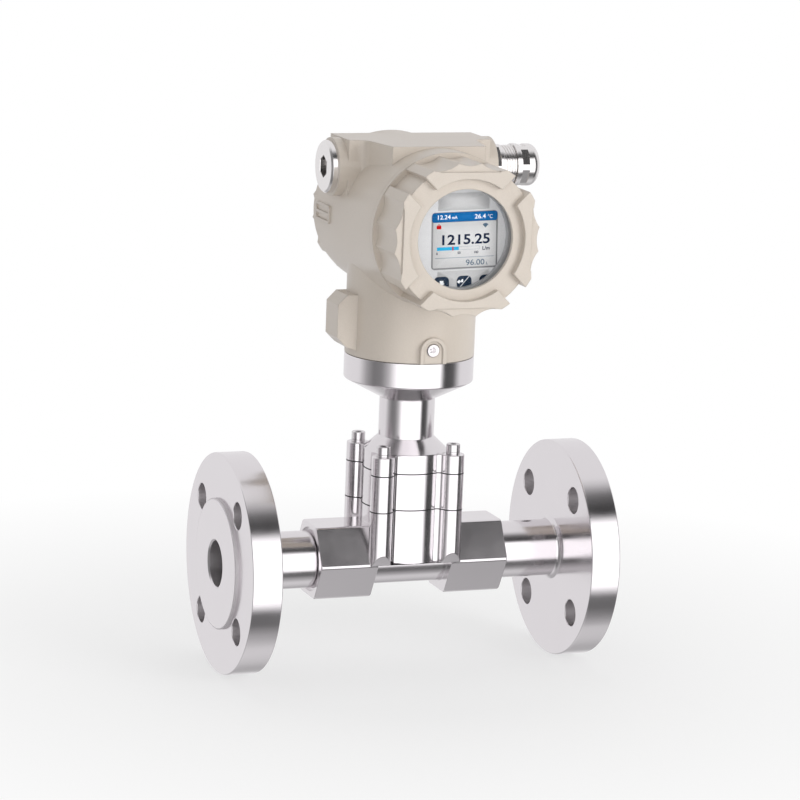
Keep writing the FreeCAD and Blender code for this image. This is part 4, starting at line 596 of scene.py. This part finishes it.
CUP_RADIUS, CUP_NECK, STEM_HOLE, SPIGOT_RADIUS, SPIGOT_BORE = 33.75, 14.52, 12.03, 29.5, 25.0
CUP_FOOT, RIM_FOOT, CUP_FLOOR, CUP_TOP, SPIGOT_TOP = 85.0, 94.9, 97.9, 108.0, 125.0
GROOVES = ((27.1, 109.0, 111.6), (27.9, 113.5, 117.1))  # each one's floor radius, foot and top
cup_steel = steel("cup_steel", rough=0.15)
groove_points = []
for deep, low, high in GROOVES:
    groove_points += [[SPIGOT_RADIUS, low], [deep, low], [deep, high], [SPIGOT_RADIUS, high]]
cup_line = eased([[CUP_NECK, CUP_FOOT], [CUP_RADIUS, RIM_FOOT], [CUP_RADIUS, CUP_TOP], [SPIGOT_RADIUS, CUP_TOP],
                  *groove_points, [SPIGOT_RADIUS, SPIGOT_TOP], [SPIGOT_BORE, SPIGOT_TOP],
                  [SPIGOT_BORE, CUP_FLOOR], [STEM_HOLE, CUP_FLOOR], [STEM_HOLE, CUP_FOOT]],
                 [0.1, 1.2, 0.25, 0.1, *[0.05] * len(groove_points), 0.5, 0.5, 0.5, 0.3, 0.2])
piece("cup_shell", [round_about(closed(cup_line), 2, (PIPE_MIDDLE, 0, 0), 160)], "meter", cup_steel,
      ("head_cup",))


# Housing
# A die-cast aluminium drum on a round neck, with a flat top and two cable entries, powder-coated beige.
# The coat is thick enough to round every edge and to dimple slightly like orange peel.

def coat(name, colour, rough):
    """Powder coat: a satin paint whose surface dimples at about a millimetre and whose tone drifts a little."""
    material = bpy.data.materials.new(name)
    tree, shader, make = nodes_of(material)
    place = make("ShaderNodeTexCoord").outputs["Object"]
    drift = make("ShaderNodeTexNoise", Vector=place, Scale=22.0, Detail=3.0, Roughness=0.5).outputs[0]
    dimple = make("ShaderNodeTexNoise", Vector=place, Scale=900.0, Detail=1.0, Roughness=0.4).outputs[0]
    speck = make("ShaderNodeTexNoise", Vector=place, Scale=2600.0, Detail=2.0, Roughness=0.6).outputs[0]
    shader.inputs["Coat Weight"].default_value = 0.35
    shader.inputs["Coat Roughness"].default_value = 0.22
    fleck = make("ShaderNodeMapRange", Value=speck, From_Min=0.35, From_Max=0.65, To_Min=0.97, To_Max=1.03)
    tone = make("ShaderNodeVectorMath", set_operation="SCALE", at_0=two_tones(make, drift, colour, 0.035),
                Scale=fleck.outputs[0]).outputs[0]
    tree.links.new(tone, shader.inputs["Base Color"])
    sheen = make("ShaderNodeMapRange", Value=drift, From_Min=0.3, From_Max=0.7, To_Min=rough - 0.04,
                 To_Max=rough + 0.05).outputs[0]
    tree.links.new(sheen, shader.inputs["Roughness"])
    rounded = make("ShaderNodeBevel", set_samples=6, Radius=0.0009).outputs[0]
    bump = make("ShaderNodeBump", Height=dimple, Strength=0.16, Distance=0.0002, Normal=rounded)
    tree.links.new(bump.outputs[0], shader.inputs["Normal"])
    return material


beige = coat("beige_powder_coat", (0.672, 0.604, 0.530), 0.42)
softened_copy("housing", "housing_casting", "head", beige, HOUSING_EDGE, cast=True)


# Lock screw
# A short hexagon-socket screw in the neck's small boss stops the head from turning.
# It is bright steel with a chamfered rim.

LOCK_PLACE = (PIPE_MIDDLE, -34.9, 115.3)
LOCK_RADIUS, LOCK_EASE, LOCK_LENGTH, LOCK_ACROSS, LOCK_DEPTH = 3.4, 0.35, 4.4, 2.5, 2.2
POINT_RADIUS, POINT_START, POINT_END = 1.5, 5.1, 6.7

lock_rim = LOCK_ACROSS / 2 * 1.25
lock_line = [[lock_rim, 0.0], [LOCK_RADIUS - LOCK_EASE, 0.0], [LOCK_RADIUS, LOCK_EASE],
             [LOCK_RADIUS, LOCK_LENGTH], [POINT_RADIUS, POINT_START], [POINT_RADIUS, POINT_END],
             [0.0, POINT_END]]
piece("lock_screw_bright", [round_about(lock_line, 1, LOCK_PLACE, 48),
                            hexagon_socket(LOCK_ACROSS, lock_rim, (0.0, 0.1, LOCK_DEPTH), 1, LOCK_PLACE)],
      "head", screw_steel, ("lock_screw",))


# Screwed covers
# Cast aluminium like the housing and coated with it; four arms with finger scallops give a spanner its grip.
# The front one holds the window, the rear one is blind.

softened_copy("front_cover", "window_cover", "front_lid", beige, COVER_EDGE, cast=True)
softened_copy("rear_cover", "blind_cover", "rear_lid", beige, COVER_EDGE, cast=True)


# Window
# A disc of toughened glass behind the cover's lip, held by a ring from inside.
# The glass is clear, with a polished edge.

DRUM_HEIGHT, GLASS_FRONT, GLASS_RADIUS, GLASS_THICK = 178.4, -69.9, 28.0, 4.0
clear_glass = bpy.data.materials.new("clear_window_glass")
tree, shader, make = nodes_of(clear_glass)
shader.inputs["Base Color"].default_value = (0.30, 0.32, 0.32, 1)
glass_place = make("ShaderNodeTexCoord").outputs["Object"]
film = make("ShaderNodeTexNoise", Vector=glass_place, Scale=60.0, Detail=2.0).outputs[0]
smear = make("ShaderNodeMapRange", Value=film, To_Min=0.01, To_Max=0.06).outputs[0]
tree.links.new(smear, shader.inputs["Roughness"])
edge_on = make("ShaderNodeLayerWeight", Blend=0.12).outputs["Fresnel"]
haze = make("ShaderNodeMapRange", Value=edge_on, To_Min=0.01, To_Max=0.9).outputs[0]
tree.links.new(haze, shader.inputs["Alpha"])
glass_line = eased([[0.0, 0.0], [GLASS_RADIUS, 0.0], [GLASS_RADIUS, GLASS_THICK], [0.0, GLASS_THICK]],
                   [0.0, 0.3, 0.3, 0.0])
piece("window_pane", [round_about(glass_line, 1, (PIPE_MIDDLE, GLASS_FRONT, DRUM_HEIGHT))], "front_lid",
      clear_glass, ("window_glass",))
cover_with(node["window_clamp_ring"].data, coat("window_ring_coat", (0.55, 0.55, 0.56), 0.5))


# Display
# A pale plastic frame with a colour screen and three touch keys, seen through the window.
# The module sits a little turned, so everything on it is laid out in the screen's own plane.

SCREEN_TURN = math.radians(1.7)
SCREEN_MIDDLE = np.array([PIPE_MIDDLE + 3.5, -62.0, DRUM_HEIGHT - 1.8])
ALONG = np.array([math.cos(SCREEN_TURN), 0, math.sin(SCREEN_TURN)])
UPWARD = np.array([-math.sin(SCREEN_TURN), 0, math.cos(SCREEN_TURN)])


def plain(name, colour, rough=0.5, glow=0.0, grain=600.0, depth=0.05, gloss=0.5):
    """Moulded or printed plastic: one colour with a faint grain in tone and surface; a glow, where given, makes
    it give off light of its own.
    """
    material = bpy.data.materials.new(name)
    tree, shader, make = nodes_of(material)
    place = make("ShaderNodeTexCoord").outputs["Object"]
    speck = make("ShaderNodeTexNoise", Vector=place, Scale=grain, Detail=2.0).outputs[0]
    tone = two_tones(make, speck, colour, 0.04)
    tree.links.new(tone, shader.inputs["Base Color"])
    shader.inputs["Roughness"].default_value = rough
    shader.inputs["Specular IOR Level"].default_value = gloss
    if glow:
        tree.links.new(tone, shader.inputs["Emission Color"])
        shader.inputs["Emission Strength"].default_value = glow
    bump = make("ShaderNodeBump", Height=speck, Strength=depth, Distance=0.0001)
    tree.links.new(bump.outputs[0], shader.inputs["Normal"])
    return material


def on_screen(u, v, lift):
    """Points of the display's plane, from the screen's middle, lifted towards the window."""
    u, v = np.asarray(u, float), np.asarray(v, float)
    out = SCREEN_MIDDLE - np.array([0, lift, 0])
    return out + u[..., None] * ALONG + v[..., None] * UPWARD


def tile(u0, u1, v0, v1, radius, lift, thick):
    """A thin plate with rounded corners: its outline, raised at the edge and drawn in to its middle."""
    outline = closed(eased([[u0, v0], [u1, v0], [u1, v1], [u0, v1]], radius, 6))
    centre = outline[:-1].mean(0)
    share = np.array([1.0, 1.0, 0.0])[:, None, None]
    flat = centre + (outline - centre) * share
    raised = np.array([lift, lift + thick, lift + thick])[:, None] + 0 * flat[..., 0]
    grid = on_screen(flat[..., 0], flat[..., 1], 0)
    grid[..., 1] -= raised
    return grid


def lit_ink(name, colour):
    """A colour of the lit screen: half of it is the screen's own light, half is the room's."""
    return plain(name, colour, glow=0.5, grain=200.0, depth=0.0, gloss=0.1)


def printed(name, patches, material):
    """Something thin and flat on the display."""
    piece(name, patches, "head", material, smooth=False)


# Painted light: the display's frame and its bands glow at a quarter strength, though they are no lamp, so that
# they stay evenly light in the window's shade.
frame_glow_grey = plain("display_frame_glow_grey", (0.68, 0.68, 0.69), gloss=0.2, glow=0.25)
band_glow_grey = plain("display_band_glow_grey", (0.60, 0.60, 0.605), gloss=0.2, glow=0.25)
screen_white = lit_ink("screen_white", (0.56, 0.56, 0.565))
header_blue = lit_ink("header_blue", (0.002, 0.115, 0.34))
ink_navy = lit_ink("ink_navy", (0.003, 0.010, 0.035))
ink_slate = lit_ink("ink_slate", (0.065, 0.110, 0.16))
ink_pale = lit_ink("ink_pale", (0.22, 0.26, 0.31))
ink_cyan = lit_ink("ink_cyan", (0.02, 0.36, 0.62))
ink_red = lit_ink("ink_red", (0.50, 0.003, 0.003))
ink_white = lit_ink("ink_white", (0.80, 0.82, 0.84))
edge_grey = plain("screen_edge_grey", (0.30, 0.30, 0.31))

cover_with(node["display_frame"].data, frame_glow_grey)
cover_with(node["screen"].data, edge_grey)
printed("frame_band", [tile(-14.3, 13.1, 15.3, 24.0, 0.3, 0.02, 0.04),
                       tile(-14.3, 13.1, -28.0, -15.3, 0.3, 0.02, 0.04)], band_glow_grey)
printed("screen_face", [tile(-16.9, 16.9, -13.6, 9.35, 0.5, 0.02, 0.04)], screen_white)
printed("screen_header", [tile(-17.5, 17.5, 9.5, 14.2, 1.2, 0.02, 0.05)], header_blue)
printed("bar_filled", [tile(-14.8, -3.0, -4.8, -3.1, 0.05, 0.07, 0.03)], ink_cyan)
printed("bar_mark", [tile(-6.6, -5.9, -4.9, -3.0, 0.05, 0.10, 0.03)], ink_red)
printed("scale_line", [tile(-15.7, 15.9, -8.75, -8.5, 0.02, 0.07, 0.03),
                       tile(-3.0, 8.0, -3.2, -3.1, 0.01, 0.07, 0.02),
                       tile(-3.0, 8.0, -4.8, -4.7, 0.01, 0.07, 0.02),
                       tile(7.9, 8.0, -4.8, -3.1, 0.01, 0.07, 0.02)], ink_pale)
angle = np.linspace(0, 2 * np.pi, 25)
shackle = np.array([[0.95], [0.55 * 0.95]])
printed("lock_sign", [tile(-15.1, -12.6, 6.1, 7.8, 0.3, 0.07, 0.03),
                      on_screen(shackle * np.cos(angle) - 13.85, shackle * np.sin(angle) + 7.6, 0.10)], ink_red)
fan = np.radians(np.linspace(42, 138, 13))
printed("signal_sign", [on_screen(np.stack([11.1 + 2.1 * np.cos(fan), 0 * fan + 11.1]),
                                  np.stack([6.2 + 2.0 * np.sin(fan), 0 * fan + 5.9]), 0.09)], ink_slate)


TYPE_SIZE, PRINT_LIFT, PRINT_HALF = 1.37, 0.11, 0.012


def words(name, text, u, v, high, material, heavy, wide):
    """Printed figures on the screen: a line of type made into a mesh and laid in the screen's plane."""
    data = bpy.data.curves.new(name, "FONT")
    data.body = text
    data.size = high * TYPE_SIZE
    data.offset = heavy
    data.extrude = PRINT_HALF
    holder = bpy.data.objects.new(name + "_type", data)
    bpy.context.scene.collection.objects.link(holder)
    bpy.context.view_layer.update()
    mesh = bpy.data.meshes.new_from_object(holder)
    bpy.data.objects.remove(holder)
    flat = np.zeros(len(mesh.vertices) * 3, np.float32)
    mesh.vertices.foreach_get("co", flat)
    flat = flat.reshape(-1, 3)
    at = on_screen(u + flat[:, 0] * wide, v + flat[:, 1], 0)
    at[:, 1] -= PRINT_LIFT + flat[:, 2]
    mesh.vertices.foreach_set("co", (at * MM).astype(np.float32).ravel())
    mesh.name = name
    finished(name, mesh, "head", material, (), smooth=False)


for line in (("current_figures", "12.24", -15.1, 11.0, 2.2, ink_white, 0.03, 1.12),
             ("current_unit", "mA", -7.0, 11.0, 1.5, ink_white, 0.03, 0.98),
             ("warmth_figures", "26.4", 5.2, 10.7, 2.3, ink_white, 0.03, 1.12),
             ("warmth_unit", "°C", 12.2, 10.6, 2.0, ink_white, 0.0, 0.9),
             ("flow_figures", "1215.25", -13.6, -1.9, 5.1, ink_navy, 0.16, 1.22),
             ("flow_unit", "L/m", 9.5, -5.3, 1.8, ink_navy, 0.05, 1.08),
             ("scale_start", "0", -15.2, -6.8, 1.25, ink_navy, 0.03, 1.0),
             ("scale_half", "50", -3.8, -6.8, 1.25, ink_navy, 0.03, 1.0),
             ("scale_full", "100", 4.9, -6.9, 1.25, ink_navy, 0.03, 1.0),
             ("total_figures", "96.00", 0.7, -12.7, 2.9, ink_slate, 0.02, 1.16),
             ("total_unit", "L", 11.7, -12.8, 1.4, ink_slate, 0.02, 1.0)):
    words(*line)
key_navy = plain("key_navy", (0.006, 0.024, 0.058), rough=0.35, grain=300.0, gloss=0.2)
cover_with(node["touch_keys"].data, key_navy)


def sign(outline, u, v, lift):
    """A flat sign on a key: a fan of lines from its edge to its middle."""
    edge = closed(np.asarray(outline, float) + [u, v])
    centre = edge[:-1].mean(0)
    both = np.stack([edge, 0 * edge + centre])
    return on_screen(both[..., 0], both[..., 1], lift)


arrow_back = [[-1.9, 0.0], [-0.6, 1.0], [-0.6, 0.4], [0.9, 0.4], [0.9, 1.3], [1.5, 1.3], [1.5, -0.3],
              [-0.6, -0.3], [-0.6, -1.0]]
arrow_up = [[-1.5, -1.0], [0.0, 1.1], [1.5, -1.0], [0.9, -1.0], [0.0, 0.2], [-0.9, -1.0]]
arrow_down = [[1.0, 1.2], [-1.0, 1.2], [-1.0, -0.2], [-1.6, -0.2], [0.0, -1.6], [1.6, -0.2], [1.0, -0.2]]
slash = [[-3.0, -3.0], [-2.75, -3.1], [2.9, 3.0], [2.65, 3.1]]
printed("key_signs", [sign(arrow_back, -2.1, -20.9, 0.44), sign(slash, -0.2, -21.4, 0.43),
                      sign(arrow_up, 11.9, -21.9, 0.44), sign(arrow_down, -12.2, -21.2, 0.44)], ink_white)


# Boards and terminals
# Green boards on hexagon posts carry the display; the terminal block for the field wires is behind the wall.
# They are hidden by the covers and finished plainly.

board_green = plain("board_green", (0.02, 0.13, 0.06), rough=0.35, grain=900.0)
terminal_green = plain("terminal_green", (0.02, 0.22, 0.10))
nickel = steel("nickel_plate", colour=(0.86, 0.845, 0.835), rough=0.17)
rubber = plain("seal_rubber", (0.02, 0.02, 0.021), rough=0.75, grain=1500.0, depth=0.2)
copper = steel("copper_wire", colour=(0.80, 0.42, 0.25), rough=0.3, ring_pitch=0.3, ring_depth=0.3)
spool_cream = plain("spool_cream", (0.66, 0.62, 0.52))
lead_black = plain("lead_black", (0.025, 0.025, 0.028), rough=0.6, grain=1200.0)
bearing_grey = steel("bearing_grey", colour=(0.34, 0.34, 0.36), rough=0.12)
blade_steel = steel("blade_steel", rough=0.2)
dressed = {
    board_green: ["display_board", "main_board"],
    terminal_green: ["terminal_block"],
    nickel: ["front_posts", "rear_posts"],
    screw_steel: ["post_screws", "terminal_screws", "ground_screw", "inlet_snap_ring", "outlet_snap_ring"],
    rubber: ["lower_block_seal", "upper_block_seal", "neck_seal", "front_cover_seal", "rear_cover_seal",
             "plug_seal", "sealing_sleeve"],
    copper: ["pickup_coil"],
    spool_cream: ["pickup_spool"],
    lead_black: ["signal_lead", "lead_plug"],
    bearing_grey: ["rotor_shaft", "thrust_washers", "bearing_bushes"],
    blade_steel: ["rotor", "inlet_guide", "outlet_guide", "pickup_case", "pickup_magnet"],
}
for material, members in dressed.items():
    for member in members:
        cover_with(node[member].data, material)


# Blanking plug
# Nickel-plated brass, screwed into the entry that isn't used, with a hexagon socket.
# Its flange has a chamfered rim and bears on a cord seal.

PLUG_PLACE, GLAND_PLACE, NUT_PLACE = [(x, 10.0, 204.4) for x in (55.15, 146.1, 158.8)]
PLUG_RADIUS, PLUG_SEAT, PLUG_RIM, PLUG_CHAMFER = 13.55, 3.7, 7.4, (0.95, 1.0)
PLUG_NECK, THREAD_START, PLUG_THREAD, PLUG_END, PLUG_ACROSS, PLUG_DEPTH = 8.1, 5.5, 9.7, 15.7, 10.0, 7.0

chamfered = eased([[PLUG_RIM, 0.0], [PLUG_RADIUS - PLUG_CHAMFER[0], 0.0], [PLUG_RADIUS, PLUG_CHAMFER[1]],
                   [PLUG_RADIUS, PLUG_SEAT]], 0.25)[5:15]
plug_line = np.concatenate([[[PLUG_RIM, 0.0]], chamfered,
                            [[PLUG_RADIUS, PLUG_SEAT], [PLUG_NECK, PLUG_SEAT], [PLUG_NECK, THREAD_START],
                             [PLUG_THREAD, THREAD_START], [PLUG_THREAD, PLUG_END - 1.0],
                             [PLUG_THREAD - 1.0, PLUG_END], [0.0, PLUG_END]]])
angle = np.linspace(0, 2 * np.pi, 97)
flat = hexagon(angle, PLUG_ACROSS)
reach = np.stack([0 * angle + PLUG_RIM, flat * 1.06, flat, flat, 0 * angle])
plug_socket = carried(reach, np.array([0.0, 0.0, 0.4, PLUG_DEPTH, PLUG_DEPTH])[:, None], angle, 0, PLUG_PLACE)
piece("plug_plated", [round_about(plug_line, 0, PLUG_PLACE), plug_socket], "plug", nickel, ("blanking_plug",))


# Cable gland
# Nickel-plated brass: a hexagon at the housing, a threaded stretch and a domed nut with spanner flats.
# The nut presses a rubber sleeve on the cable; with no cable in it the sleeve's hole shows.

GLAND_BORE, GLAND_SHANK, GLAND_START, GLAND_COLLAR, COLLAR_START = 6.5, 9.9, -9.9, 10.8, 0.1
GLAND_TAIL, TAIL_START, GLAND_END = 9.3, 14.6, 19.0
THREAD_CREST, THREAD_ROOT, THREAD_PITCH, THREAD_FROM, THREAD_TO = 10.4, 9.85, 1.5, 5.6, 14.2
GLAND_ACROSS, GLAND_CORNER, GLAND_INNER = 22.0, 12.3, 10.5
NUT_RADIUS, NUT_BORE, NUT_MOUTH, NUT_ACROSS, FLATS_START, FLATS_END = 11.05, 9.75, 10.46, 20.4, 2.7, 6.6
STEP = 0.02

turns = np.arange(THREAD_FROM, THREAD_TO, THREAD_PITCH)
one_turn = ((THREAD_CREST, 0.0), (THREAD_CREST, 0.35), (THREAD_ROOT, 0.5), (THREAD_ROOT, 0.9))
thread_line = [[radius, turn + share * THREAD_PITCH] for turn in turns for radius, share in one_turn]
gland_line = [[GLAND_BORE, GLAND_START], [GLAND_SHANK, GLAND_START], [GLAND_SHANK, COLLAR_START],
              [GLAND_COLLAR, COLLAR_START], [GLAND_COLLAR, THREAD_FROM - 0.3], [GLAND_INNER, THREAD_FROM],
              *thread_line, [GLAND_TAIL, TAIL_START], [GLAND_TAIL, GLAND_END], [GLAND_BORE, GLAND_END],
              [GLAND_BORE, GLAND_START]]
angle = np.linspace(0, 2 * np.pi, 193)
face = GLAND_ACROSS / 2 * 1.02 + 0 * angle
flat = np.minimum(hexagon(angle - np.pi / 6, GLAND_ACROSS), GLAND_CORNER)
edge = np.minimum(flat, face + 0.4)
root = GLAND_INNER + 0 * angle
reach = np.stack([root, face, edge, flat, flat, edge, face, root])
along = np.array([0.12, 0.12, 0.32, 0.62, 2.9, 3.2, 3.4, 3.4])[:, None]
gland_hexagon = carried(reach, along, angle, 0, GLAND_PLACE)
piece("gland_plated", [round_about(gland_line, 0, GLAND_PLACE), gland_hexagon], "head", nickel, ("gland_body",))

dome = np.linspace(0, np.pi / 2, 9)
nut_line = np.concatenate([[[NUT_RADIUS, FLATS_START + STEP], [NUT_RADIUS, FLATS_END],
                            [NUT_RADIUS, FLATS_END + STEP], [11.1, 9.0]],
                           np.stack([5.9 + 5.2 * np.cos(dome), 9.2 + 4.35 * np.sin(dome)], -1),
                           [[5.4, 13.4], [4.6, 12.9], [4.5, 11.1], [NUT_BORE, 8.6], [NUT_BORE, 1.9],
                            [NUT_MOUTH, 1.85], [NUT_MOUTH, 0.0], [11.25, 0.0], [11.3, 0.3], [11.3, 1.3],
                            [10.95, 1.5], [10.95, 2.4], [NUT_RADIUS, FLATS_START],
                            [NUT_RADIUS, FLATS_START + STEP]]])
reach = nut_line[:, :1] + 0 * angle
for row in (0, 1, -1):
    reach[row] = np.minimum(reach[row], hexagon(angle - np.pi / 6, NUT_ACROSS))
piece("nut_plated", [carried(reach, nut_line[:, 1:], angle, 0, NUT_PLACE)], "nut", nickel, ("gland_nut",)).data.set_sharp_from_angle(angle=math.radians(18))
